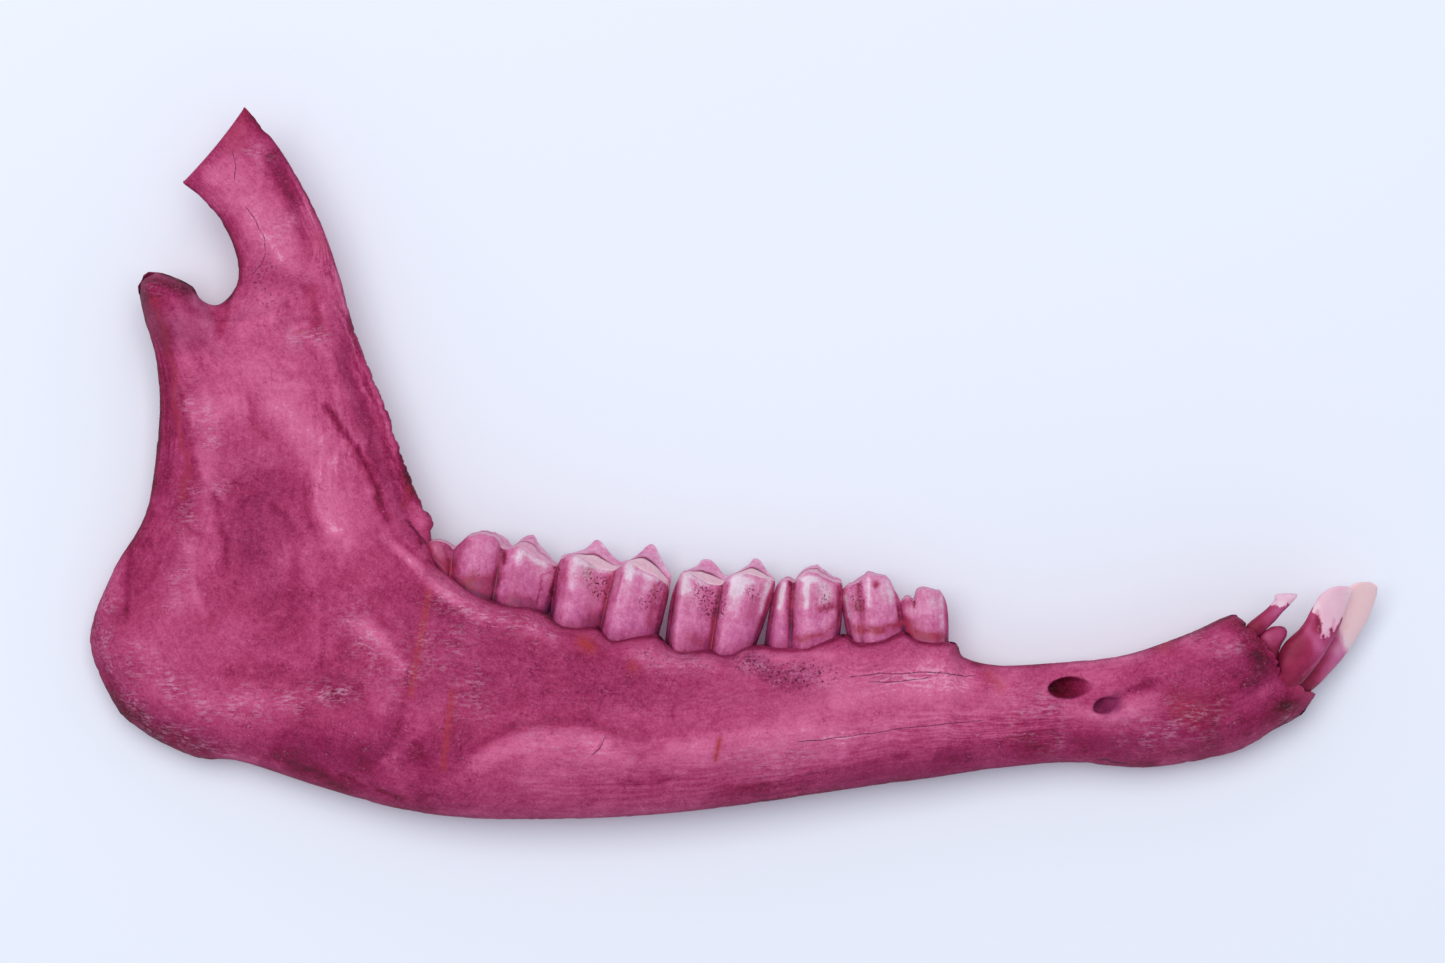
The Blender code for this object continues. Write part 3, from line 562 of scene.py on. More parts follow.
# How pale (above 0) or dark (below 0) the dye took, in steps of about 35 of 255 of brightness from the
# middle magenta. Marks noted below as painted shade stand for shade, not for the dye.
TONE_MARKS = (
    # coronoid process
    (-66, 37.8, -62.5, 34, -58.2, 28.2, 3.1, 1, 3), (-62.2, 33, -59, 28.6, 1.4, 0.3),
    (-57, 25.2, -54, 24, 1.8, 0.45), (-59.3, 39.4, -57.4, 34.4, 1.3, -0.9),
    (-63.6, 46, -61, 42.5, 1.6, -0.4), (-70, 36, -66.6, 32, -64.2, 26, -65.4, 21.6, 1.1, -0.6),
    (-55, 33, -53.4, 28, 1, 0.3),
    # branch below the notch
    (-64, 19, -57.5, 20, -55.8, 16.5, 2.6, 0.68, 3), (-60, 12.6, -66, 14, 3.4, 0.6, 3),
    (-68.8, 7.2, -64.5, 7.5, 2.2, 0.8, 3), (-68, 4, -68, -2, 1.4, 0.6),
    (-58.2, 8, -54.6, 2, -52.4, -5, -51.6, -8.4, 2.5, 0.8, 3),
    (-57, 8, -49.4, -4.6, -49.4, -9.2, 2.6, 0.45), (-50.6, -11, 1.5, 0.5), (-66.5, 18.4, 1.8, -0.25),
    # joint head and the band down the back border
    (-76.4, 23.2, -73, 23.6, -70, 22.2, 1.3, -0.8), (-76.2, 20.6, -75, 17.6, 1.1, -0.45),
    (-74, 16, -73.4, 8, -73.8, 0, -74.4, -3, 1.7, -0.85, 3), (-76, -7, -78, -12, -79, -19, 1.3, -0.6),
    (-74.6, -4, -76.2, -12, -77.6, -20, 2.6, -0.35), (-72.2, 12, -70.8, 4, -70.4, -4, 0.6, 0.25),
    # hollow behind the thin front edge
    (-50.6, 16, -49, 10, -46.4, 4, -43, -4, 2.3, -0.5), (-47.6, 1, -46, -5.4, 0.9, -0.7),
    (-43.2, -1, -41.4, -5, 1.2, -0.6),
    # chewing muscle's hollow and the scars round it
    (-64, -2, -60.5, -10, -62, -16, 4.2, -0.45, 3), (-57, -18, -58, -22, 2.5, -0.4),
    (-62, -27.4, 2.4, -0.35), (-69, -8, -71, -16, -74, -22, -72, -28, 2.2, 0.3), (-70.6, -11, 1.2, 0.4),
    (-71.6, -18, 1.8, 0.35), (-76.4, -24, -75, -28, 1.4, 0.45), (-69, -30.6, -63, -30.6, 1.8, 0.5),
    (-70, -26, -60, -30, -53, -30.4, 2.4, 0.32), (-64, -22, 2, 0.3), (-54.6, -11, -54.6, -14.6, 1.5, 0.5),
    (-58, -12, 2, 0.3), (-48, -21, -43.6, -26, 1.5, 0.75),
    # lower edge of the angle, darkened as painted shade where the bone turns down, and the dark patch
    # in front of it
    (-82.4, -28, -77, -34.5, -68, -37.5, -58, -39.5, -50, -42, -41, -44.8, 1.9, -0.55, 3),
    (-58, -36.4, -52, -37.4, -47, -38.2, 2.4, -0.55, 3), (-40, -36.6, -36.5, -36.6, 2.2, -0.55, 3),
    (-57, -39.5, -51, -41.6, 1.3, -0.35), (-65, -38.4, -62, -38.6, 0.7, 0.6),
    (-52, -26, -50, -31, 2.2, -0.25),
    # behind the last molar, and the pale crest there
    (-44, -17, -38, -18.4, -36.5, -22, 3, -0.42, 3), (-43, -11, -41, -13.2, 0.9, 0.5),
    (-38.5, -15.6, -33, -19.4, -27, -21.2, 1.2, 0.65),
    # body: dark upper half, pale strip under the teeth, bright front, pale swelling, and the lower edge
    # darkened as painted shade
    (-30, -24.4, -22, -26.4, -12.5, -27.6, 3.4, -0.38, 3), (-19.6, -24.2, -17, -25, 1.7, -0.35),
    (-13, -24.6, -8, -25.6, -2.5, -25.9, 1.2, 0.6), (-8.5, -25.4, 1, 0.25),
    (3, -25.6, 13, -25.8, 1.4, 0.45), (14, -25, 28, -25.4, 1.3, 0.45),
    (14, -29.8, 20, -28.4, 29, -28, 2.3, 0.55, 3), (9, -33.4, 18, -31.8, 29, -30, 34, -30, 3.8, 0.6, 3),
    (-31, -37.6, -21, -36.8, -14, -37.6, 2.1, 0.6, 3),
    (-10, -38, -4, -37.2, 3, -36, 14, -35.4, 2.1, 0.85, 3), (-9, -34, 2, -32, 1.6, 0.2),
    # the lower edge, darkened as painted shade where the bone turns down
    (-2, -43.6, 10, -42.6, 20, -40.8, 30, -38.8, 1.9, -0.7, 3), (-40, -43, -35, -44.2, 2, -0.35),
    # toothless stretch and the small holes
    (42, -25.9, 51, -25.1, 52.6, -24.3, 1.1, 0.7), (46, -27.6, 49, -27.2, 1.3, 0.45),
    (43, -32, 48, -33, 53, -31.2, 1, 0.5), (34, -31.5, 46, -33, 54, -31.6, 2.2, 0.28),
    (28, -37.4, 40, -37.2, 50, -37, 57, -38, 2, -0.55, 3), (53, -28, 57, -28.6, 57.6, -33, 2, -0.35),
    # chin
    (59, -23.4, 64, -23.8, 1.2, 0.6), (57, -25, 0.9, -0.3), (61, -32, 66, -33.4, 70, -33, 4.2, -0.5, 3),
    (67.2, -25.4, 69, -26.8, 66.4, -28.6, 1.5, -0.6), (72, -30, 71.5, -33, 1.5, -0.55),
    (68.6, -29.4, 0.9, 0.55), (56, -39, 58.5, -38.8, 0.8, 0.5), (64, -21, 66.2, -22.2, 1.2, -0.5),
    # softer differences: paler places, then darker ones
    (-52.6, 15, -50.6, 5, -46.8, -4.6, 1.8, 0.45), (-46.4, 8, -45, 0.6, 1, 0.25), (-44.8, -0.4, 1.3, 0.6),
    (-67.4, 0.4, -63.6, 0, 1.5, 0.45), (-62, 27, -60, 22, -60, 14, 2.6, 0.2),
    (-53, 30, -52, 12, -47.6, 4, 1.8, 0.22), (-64, 3.6, -66.6, 3.8, 1, 0.3),
    (-60, 8, -59.4, 3, -66, -2, -61, -8.6, 2.2, 0.42), (-58, -12, -62, -16, 1.8, 0.42),
    (-77.4, -12.4, -80.6, -14, -76.8, -20, 1.6, 0.35), (-26, -40.2, -14, -39.6, 2, 0.5),
    (10, -28.4, 19, -27.4, 30, -27.8, 1.6, 0.62), (15, -36.4, 20, -34, 27, -34, 1.8, 0.42),
    (-6, -38.4, 5, -38, 2, 0.22), (-3, -42.8, 1, -43, 1, 0.4), (2, -34, 5.6, -32, 1.6, 0.4),
    (3, -24.6, 12.4, -24.3, 0.8, 0.9), (-48, -30.4, -45, -32, 1.8, 0.3), (-51.8, -23, 1.2, 0.4),
    (43, -28.6, 1.1, 0.45), (57, -28.6, 61, -29, 1.3, 0.25), (-71, 18.6, -68.2, 17.6, 1.6, 0.75),
    (-70, 21.4, -67.4, 20.6, 0.7, 0.9), (-75.2, 17.6, -74.6, 13, 0.8, 0.7),
    (-70.4, 36.2, -67.4, 33, 0.9, 0.9), (-61, 43, -60.4, 38, 1.6, 0.45), (41, -25.6, 51, -25.2, 0.5, 0.6),
    (-62, 12, -66, 10, 2, 0.3), (-56.4, 12, -55, 9.6, 1.2, 0.55), (-9, -23.6, -7.6, -24.6, 0.8, 0.5),
    (-70.6, 9.4, -70.8, 6, -70, 1, -71.4, -7, 1.3, -0.8), (-69.4, 13.6, -68.6, 12.4, 1, -0.3),
    (-69, 39, -67, 40.6, 1.7, -0.85), (-65, 21.4, -66.6, 16, 0.9, -0.4),
    (-57.4, 19.2, -54, 16.6, 1.7, -0.7), (-60, 30.6, -55, 29.6, 1, -0.4), (-51.6, 23.4, 0.8, -0.4),
    (-53, -0.6, 0.9, -0.4), (-70, -33, -56, -36, 3.2, -0.2, 3),
    (-78, -26, -66, -28, -56, -29, -50, -29.4, 2.6, -0.32, 3),
    (-77.6, -32, -72.6, -36, -68, -37.4, 1.8, -0.55), (-80.8, -22.6, 1.2, -0.5),
    (-48, -30, -47, -38, 1.6, -0.35), (-60, -27.6, -50.8, -30, 1.4, -0.35),
    (-55, -32.6, -51.6, -35.4, -46, -40.6, 2, -0.5), (-44, -34, -40, -40, 2.6, -0.55, 3),
    (-36, -33.4, -33.4, -35, 2.2, -0.5), (-50, -24, -40, -27, -32, -29.6, -19, -31.6, 2.4, -0.32, 3),
    (-31, -20.4, -28.4, -21, 1.2, -0.55), (-42, -12, -36, -15.6, 0.8, 0.4),
    (-38, -18, -27, -20.6, 0.9, -0.45), (-41.4, -21, -40.6, -24.4, 1, -0.4),
    (32.4, -27.6, 34, -33, 1.4, -0.45), (36.6, -32.6, 36.4, -35, 1.6, -0.45),
    (38.6, -37, 43, -33, 46, -36, 2.2, -0.62), (50.4, -36.4, 54.6, -34, 61.6, -37.4, 1.9, -0.4),
    (60, -21.8, 65.6, -27.4, 61, -33, 62, -37, 1.8, -0.48), (67, -33.6, 72.4, -31.4, 1.4, -0.55),
    (-50.8, -9.6, 1.2, -0.45), (-58.6, 9, -54, 5, 1, -0.45), (-49.6, 1.6, -48.2, -2.4, 0.7, -0.45),
)
# Narrower marks in the same steps: creases, ridges, rims and spots
FINE_MARKS = (
    # coronoid process, its dark corners, front band and pale fibres
    (-63.4, 46, -61.6, 43.6, -60.2, 43, 0.8, -0.6), (-61.2, 42.6, -59.2, 40.4, 0.9, -0.45),
    (-71, 36.8, -69.4, 36.6, 0.9, -0.4),
    (-70.6, 36, -68, 33.4, -65.8, 30, -64.3, 27, -64, 24.4, -65.2, 21.6, 0.45, -0.4),
    (-65.2, 21.6, -67, 20.4, -68.8, 20.9, 0.4, -0.3), (-64.2, 31.2, -63.4, 28, 0.9, -0.35),
    (-59.6, 39.6, -58, 36.2, -56.6, 32.6, 0.7, -0.25), (-56.4, 31.8, -55.3, 29.4, 0.8, -0.6),
    (-55.4, 28.2, -54.6, 27.2, 0.9, -0.3),
    (-57.6, 38.2, -55.5, 34.2, -53.3, 29.2, -51.4, 24.4, -49.9, 19.4, 0.25, 0.6),
    (-60.8, 29.4, -59.4, 27.6, -58.6, 26.6, 0.5, 0.6), (-62.2, 40, -60.8, 38.6, 0.35, 0.45),
    (-67.6, 38.4, -66.6, 37, 1.1, 0.35),
    # under the notch
    (-61.4, 24.6, -56.4, 23.4, 1, -0.4), (-54.9, 22, -54.2, 20, -53.8, 17.6, 0.9, -0.6),
    (-53.1, 20.6, -52.6, 17.6, 0.3, 0.4), (-56.4, 17.4, -55.2, 17.9, 0.45, 0.8),
    (-57.9, 16.8, -56.6, 16.2, 0.6, 0.5), (-54.3, 15.4, -53.5, 15.2, 0.4, 0.7), (-57.2, 14.6, 0.6, 0.45),
    (-58.8, 13.2, -57.4, 11.4, -55.6, 11.2, 0.45, -0.45), (-68.5, 19.8, -67.4, 16.4, 0.35, 0.45),
    (-66.9, 19.2, -66.1, 16.4, 0.75, -0.5), (-64.5, 21.2, -65.2, 18.4, -66.2, 15.6, 0.4, 0.45),
    (-69.5, 15.8, -68.8, 12.4, 0.6, -0.15), (-71.8, 18.8, -70.9, 13, -70.3, 8, 0.7, 0.4),
    # joint head and back border
    (-76.2, 23.5, -74.6, 23.6, -72.6, 23.3, -70.4, 22.4, 0.45, -0.5),
    (-75.9, 24.3, -74.8, 24.5, 0.45, 0.45), (-74.8, 21.6, -74, 20.8, 1.3, -0.85),
    (-73, 22.2, -70.6, 21.2, 1.3, -0.35), (-70.6, 17.6, -69.6, 12.6, 1.5, 0.35),
    (-68.4, 20, -67.8, 18.2, 0.9, 0.4), (-76.9, 22.9, 0.3, 0.4), (-76.3, 21.8, -75.6, 21.6, 0.8, -0.6),
    (-76.4, 21, -75.6, 17.6, -74.6, 13, 0.8, -0.45), (-69.8, 21.6, -69.4, 20.4, 0.35, 0.7),
    (-72.1, 19.8, -71.6, 18.5, 0.45, -0.6),
    (-76.8, 21, -75.2, 14, -74.8, 6, -75, 0, -76, -5.4, 0.5, -0.25),
    (-69.8, 6.6, -69.4, 1.4, -68.4, -1.8, 0.5, 0.6), (-68.8, 9, -67, 6.2, 0.9, 0.35),
    (-68.4, -3.4, -66.9, -3.5, -66.3, -4.6, 0.5, 0.6),
    # creases and ridges of the chewing muscle's hollow
    (-67, -4.4, -66.4, -7.4, -65.8, -10.6, -66.1, -14.4, 0.35, -0.65),
    (-66.6, -5.6, -65.5, -8.4, 0.22, 0.7), (-68.4, -5, -67.8, -8.6, -67.4, -12, 0.8, 0.35),
    (-71.3, -10, -70, -13.4, -69.8, -17, -68.6, -19.4, 0.35, 0.6), (-70.6, -8.3, -69, -9.4, 0.3, -0.5),
    (-69.2, -15.2, -68.2, -17.8, -67.4, -20.4, 0.35, -0.4),
    (-78.3, -9.6, -78.6, -14, -78.9, -20, 0.5, -0.5), (-77.2, -16.7, 0.4, -0.6),
    (-64.6, -3.8, -62.2, -7, -62.2, -12, 1.8, -0.4, 3), (-59.7, -5.4, -57.4, -8.2, 0.4, -0.55),
    (-58.6, -2, -56.2, -4.6, 1.3, -0.35), (-56.8, -12, -56.4, -14.8, 0.35, -0.45),
    (-53.6, -1.6, -53.5, -6, -51.8, -8.6, 0.6, 0.45), (-55.2, -1.6, -55.2, -6.8, -53.6, -9.8, 0.6, -0.45),
    (-51.8, -8.5, -50.8, -8.9, 0.4, 0.8), (-62.7, 8.8, -61.9, 4.6, -60.2, 3.4, 0.4, -0.5),
    (-59.8, 5.2, -58.8, 3.2, 0.3, -0.45),
    # crease beside the crest, the thin front edge and its flake
    # the dark line down the crease beside the crest is painted shade
    (-52.6, 7.4, -50.9, 4.6, -49, 2, -47.7, -0.4, -46.1, -3.6, -44.8, -7.2, 0.42, -1.35),
    (-47.4, 6, -45.4, 0, -43, -5, 1.5, -0.1), (-50.4, 12, -48.6, 7, 1, -0.3),
    (-45.2, -9.3, -42, -12.3, -38.8, -15.6, -35.4, -17.8, 0.65, 0.6),
    (-43.6, -9.7, -40.2, -12.6, -37.6, -14.9, 0.35, -0.8), (-44, -11.6, -40.8, -14.6, 0.25, -0.45),
    (-41.6, -6.9, -40.3, -8, 0.5, 0.6), (-42.3, -7.4, -40.4, -10.4, 0.2, -1.2),
    (-43.7, 2.2, -42.5, -1.6, -40.9, -5.4, 0.3, -0.45),
    # angle
    (-83, -20, -82.2, -26, -79.6, -31.6, -75, -35.6, 0.8, -0.35), (-81, -29.6, -79, -32.9, 0.8, -0.6),
    (-53.4, -15.4, -53, -19, -52.8, -22, -53.5, -26.2, 0.3, -0.55),
    (-47.8, -20.6, -45.2, -23.4, -42.4, -26.4, 0.9, 0.5), (-46.2, -19, -43.8, -21.6, 0.7, -0.35),
    (-48.8, -28.2, -48, -29.8, 0.7, -0.45), (-41.9, -26, -42, -30, -43.2, -34, -45.6, -37.8, 0.5, -0.5),
    (-40.8, -34.6, -42.8, -36.8, -45, -38.6, 0.6, 0.5),
    (-50.8, -40.2, -47.8, -41.6, -43, -43.6, 0.35, -0.8), (-48.5, -40.9, -46.6, -42.1, 0.25, 0.9),
    (-67.2, -38, -62.4, -38.5, 0.5, 0.6), (-59, -37.6, -54, -39.8, -50, -42.6, 1, -0.5),
    # body: the smooth lip of the swelling, the patch of bare pores, smudges
    (-34, -38.6, -30.4, -36.2, -25.6, -34.8, -20.2, -34.5, -16.4, -35.9, 0.7, 0.5),
    (-33, -39.2, -29.8, -37.2, -25, -35.9, -20, -35.8, -15.4, -37.4, 0.8, 0.45, 4),
    (-33.6, -36.6, -29.4, -34.3, -24.4, -33.5, -18.6, -33.4, -14, -35.2, 0.6, -0.35, 4),
    (-31, -34.4, -25.6, -32.9, -19.4, -32.7, -13.4, -35, -9, -34.4, 0.8, -0.25),
    (-15.6, -36.6, -12.4, -37.7, -9.2, -36.8, 0.7, -0.45), (-8.4, -36.8, -3, -35.3, 4, -34.8, 0.6, 0.35),
    (-14.9, -40.8, -12.2, -41.3, 0.35, -0.9), (-10.4, -40, -9.2, -41.2, 0.7, -0.4),
    (-1.6, -42.8, 5, -41.6, 10, -40.2, 16, -38.9, 22, -37.8, 0.6, -0.55),
    (5, -38.9, 10, -38.4, 13.6, -37.6, 0.7, 0.3), (-16.7, -35.7, -17.8, -37.2, 0.14, -1.2),
    (3, -25.6, 5.8, -27.7, 9.8, -27.8, 1.5, -0.55, 3),
    (-38.2, -16.2, -33, -18.8, -29, -20.2, -25, -21.4, 0.7, 0.35),
    (28.4, -24, 30, -25.5, 31.6, -26, 0.6, -0.55),
    # towards the chin: lengthwise streaks, the upper rim, grooves and spots
    (24, -32.4, 34, -31.9, 0.25, 0.4), (26, -35.4, 33, -35, 41, -33.9, 0.3, 0.35),
    # a thin dark line along the upper rim: painted shade where the face turns away
    (31, -25.9, 42, -25.8, 50, -24.9, 58, -22.4, 64, -19.9, 0.3, -0.7),
    (49.3, -30.4, 51.4, -29.2, 54, -28.6, 0.45, -0.6),
    (43.4, -31.6, 46.4, -32.7, 50, -32.9, 53.6, -31.2, 0.7, 0.35),
    (50.8, -31.2, 52.4, -30.3, 55, -30, 0.4, 0.4), (40.2, -28.9, 40.3, -30.2, 0.4, 0.4),
    (52, -39, 54.6, -39.3, 0.45, -0.7), (66.2, -23.2, 68.4, -25.6, 67.4, -28, 1.3, -0.6),
    (64.6, -20.4, 67.2, -22, 69.4, -25, 71.4, -28.4, 0.6, -0.75), (67.6, -24.6, 69, -26.6, 1.1, -0.7),
    (62.4, -22.7, 64.6, -23.4, 0.8, 0.35), (72.4, -31.4, 74.2, -31.6, 1, -0.5),
)
# Where pale fibres lie bare along the bone
FIBRE_MARKS = (
    (-55.2, 34, -51.6, 25, -48.6, 15, -45.4, 7, -43, 0, -41.4, -5, 1.6, 0.55, 3),
    (-53, -3, -50, 2, -52, 6, 2.4, 0.35), (14, -27.4, 30, -27.6, 1.6, 0.35),
    (15, -35.8, 30, -33.8, 40, -33.8, 2.2, 0.4), (-74, 14, -73.4, 2, 1.4, 0.3),
    (-26, -42, 10, -40, 2.4, 0.2),
)
# Towards red above 0, towards purple below 0
HUE_MARKS = (
    (-74.3, 20.8, -73, 15.2, -72.2, 10, -71.4, 5.4, -70.9, 0, -71.4, -4.6, 0.5, 1.7),
    (-52.8, 7.4, -49.2, 2, -46.4, -3.6, -45.1, -7.2, 0.5, -0.3), (-54.9, 22, -53.8, 17.6, 1, 0.5),
    (-57.8, 16.8, -56.4, 16, 1, -0.6), (-59.6, 39.6, -56.6, 32.6, 0.9, -0.5),
    (3, -25.6, 5.8, -27.7, 9.8, -27.4, 1.6, -1.2, 3), (57.6, -32, 60, -33.4, 1.4, 0.6),
    (47.6, -31.6, 49, -30.8, 1.2, -2.6, 3), (-55.5, 39, -54.2, 31, -52, 27.2, 0.8, 0.6),
    (-63.6, 45.6, -64.6, 42, 2.2, 0.9), (-62, -6, -61, -14, 4, -0.5),
    (-82.5, -20, -80, -30, -70, -36, 2, -0.4), (-56, -37.5, -38, -37.2, 3, -0.5),
    (-25, -35, -12, -35.2, -4, -33.6, 1.2, -0.5), (-13, -24.8, 4, -25.6, 1.2, -0.7),
    (14, -40.5, 32, -38.4, 2.6, -0.8), (34, -37, 52, -36.6, 2.4, -0.5),
    (67.2, -25.4, 69.4, -26.8, 66.4, -28.8, 1.8, -0.8), (58, -31, 64, -31, 2.6, 0.5),
    (36, -35.5, 40, -36, 1.6, 0.4), (73.5, -29.6, 75.4, -30.2, 0.8, 0.9),
    (64, -20.2, 67.6, -21.8, 70.4, -25.2, 72, -28.8, 0.9, 0.6),
)
# Rust stains: narrow streaks down the body, and blurred spots
RUST_MARKS = (
    (-39.2, -16.6, -40.6, -24, -41.6, -29.8, 0.45, 0.55),
    (-36.2, -29.4, -36.8, -34, -37.4, -39.4, 0.35, 0.65), (-1.8, -35.4, -2.3, -38.2, 0.35, 0.8),
    (-19.4, -22.9, -18.4, -23.6, 0.9, 0.75), (-12.9, -26.1, 0.8, 0.6), (-42, -3, -42.6, -5.6, 0.35, 0.3),
    (56, -22.4, 55.6, -23.8, 0.9, 0.4), (33, -27.2, 34.6, -29, 0.8, 0.4), (-56, 17, 0.3, 0.6),
)
# White scuffs: where the skin of the bone is rubbed or weathered
SCUFF_MARKS = (
    (-60.5, 28.8, -57.8, 30.6, 1.4, 0.9), (-62.2, 40.4, -60.6, 39, 1.2, 0.6),
    (-69.6, 9, -67.4, 3, 1.6, 0.9), (-66.8, -3.4, 1.2, 0.7), (-56.2, 17, -53.8, 16.4, 1.6, 0.8),
    (-70.4, -4, -70.8, -12, -72, -18, 1.6, 0.5), (-78, -24.6, -69, -31, -57.5, -31, -50, -29.4, 2, 0.8),
    (-81.5, -16, -82.4, -24, -76, -34, -66, -37.6, 1.6, 0.6), (-48.5, -20.5, -43.5, -27.5, 2.4, 0.8),
    (-38.5, -15.8, -31, -20, -24, -21.6, 1.6, 0.9), (-38, -22, -34, -30, 3.6, 0.5),
    (-26, -36, -14, -37.4, 2, 0.5), (2, -38.6, 9, -37.6, 2.2, 0.5), (-11, -25, -4, -26, 1.2, 0.7),
    (2, -25.4, 5, -26.6, 10.6, -28.2, 1.6, 0.5, 3), (38, -32.6, 42.4, -32.2, 1.2, 0.7),
    (34, -29.8, 40, -30, 1.6, 0.4), (36, -33.6, 42, -36, 2, 0.35), (52, -34.4, 62, -33, 2.4, 0.7),
    (60, -22.6, 65, -23.6, 1.4, 0.6), (72, -33.6, 73.2, -32.4, 0.8, 0.8),
)
# Dark specks of mould and grit in the pores
SPECK_MARKS = (
    (-76.6, 22, -70, 23, 2, 0.9), (-60.8, 25, -56.4, 24.4, 1.6, 0.7), (-63, -2, -60, -14, 4, 0.4),
    (-82, -22, -76, -34, 2.2, 0.6), (-38, -24, -14, -30, 5, 0.5),
    (1.6, -25.5, 5.4, -27.5, 11.4, -27.4, 1.9, 1.5, 3), (-61.4, 24.8, -60, 20, 1.6, 0.8),
    (-13, -25, -3, -26.2, 1.2, 0.6), (54, -27.4, 62, -27, 2.2, 0.5), (66, -26, 71, -30, 2, 0.45),
    (30, -25.8, 52, -25.2, 0.8, 0.5),
)
# Cracks: the line that each follows and its half width
CRACKS = (
    (-62.8, 32.8, -61.8, 31.5, -61.3, 30.2, -60.6, 28.9, -60.5, 27.9, 0.04),
    (-60.6, 26.6, -61, 25.5, -61.8, 24.7, 0.04), (-64.6, 39.8, -64.3, 38.5, -64.4, 36.9, 0.04),
    (15.2, -27.6, 19, -27.1, 24, -27, 31, -27.4, 0.06), (18, -28.3, 25, -27.8, 0.05),
    (8.6, -36, 16, -35, 24, -34, 31.6, -33.2, 0.05), (-16.6, -35.6, -17, -36.6, -17.8, -37.3, 0.05),
    (47.6, -38.4, 51, -38.8, 0.1), (-42.2, -7.6, -41.2, -8.8, -40, -10.2, 0.12),
)
# Millimetres from a crack, and past its ends, at which the field beside it is gone and still whole
CRACK_REACH, CRACK_END = (1.6, 1.0), (0.7, 0.1)
FAR_FROM_CRACKS = 9.0


def crack_fields(x, y):
    """Signed distance to the nearest crack over its half width, and 1 beside a crack falling to 0 away
    from it and at its ends, so that a thin line stays sharp between the mesh's points."""
    side, near = np.full(np.shape(x), FAR_FROM_CRACKS), np.zeros(np.shape(x))
    nearest = np.full(np.shape(x), np.inf)
    for *line, half_width in CRACKS:
        points = list(zip(line[::2], line[1::2]))
        for (x0, y0), (x1, y1) in zip(points, points[1:]):
            length = math.hypot(x1 - x0, y1 - y0)
            tx, ty = (x1 - x0) / length, (y1 - y0) / length
            along = (x - x0) * tx + (y - y0) * ty
            across = (y - y0) * tx - (x - x0) * ty
            beyond = np.maximum(0, np.maximum(-along, along - length))
            away = np.hypot(across, beyond)
            closer = away < nearest
            side = np.where(closer, across / half_width, side)
            beside = smooth_step(away, *CRACK_REACH) * smooth_step(beyond, *CRACK_END)
            near = np.where(closer, beside, near)
            nearest = np.minimum(nearest, away)
    return side, near


INNER_SHARE = 0.5  # how strongly the broad marks show on the inner face
MIDDLE_TONE = 0.16
# painted shade along every edge of the bone, where its faces turn away from the light
EDGE_PAINTED_SHADE, EDGE_REACH = 0.62, 0.36  # steps of tone, and millimetres in from the edge
# painted shade in the crease where the bone meets the cheek teeth: steps of tone, and millimetres from that
# line
GUM_PAINTED_SHADE, GUM_REACH = 0.95, 0.22
# painted shade deep in the two outer holes and in the inner one, in steps of tone
HOLE_PAINTED_SHADE, INNER_HOLE_PAINTED_SHADE = (1.9, 1.3), 1.2
RUST_STRENGTH, SPECKS_ALL_OVER = 1.4, 0.15
# Noise that bends the marks: millimetres and cell size, and the share that fine marks and cracks follow
BEND, BEND_CELL, SMALL_BEND, SMALL_BEND_CELL, FINE_SHARE = 0.6, 3.0, 0.35, 1.1, 0.3
# Noise in the colour: steps and cell size
CLOUD_TONE, CLOUD_CELL, MOTTLE_TONE, MOTTLE_CELL = 0.16, 5.0, 0.2, 1.3
CLOUD_HUE, CLOUD_HUE_CELL = 0.3, 4.0
# the painted shade at the edges also turns them towards purple: steps of hue, and millimetres in from the
# edge
EDGE_SHADE_HUE, EDGE_HUE_REACH = 0.5, 0.4


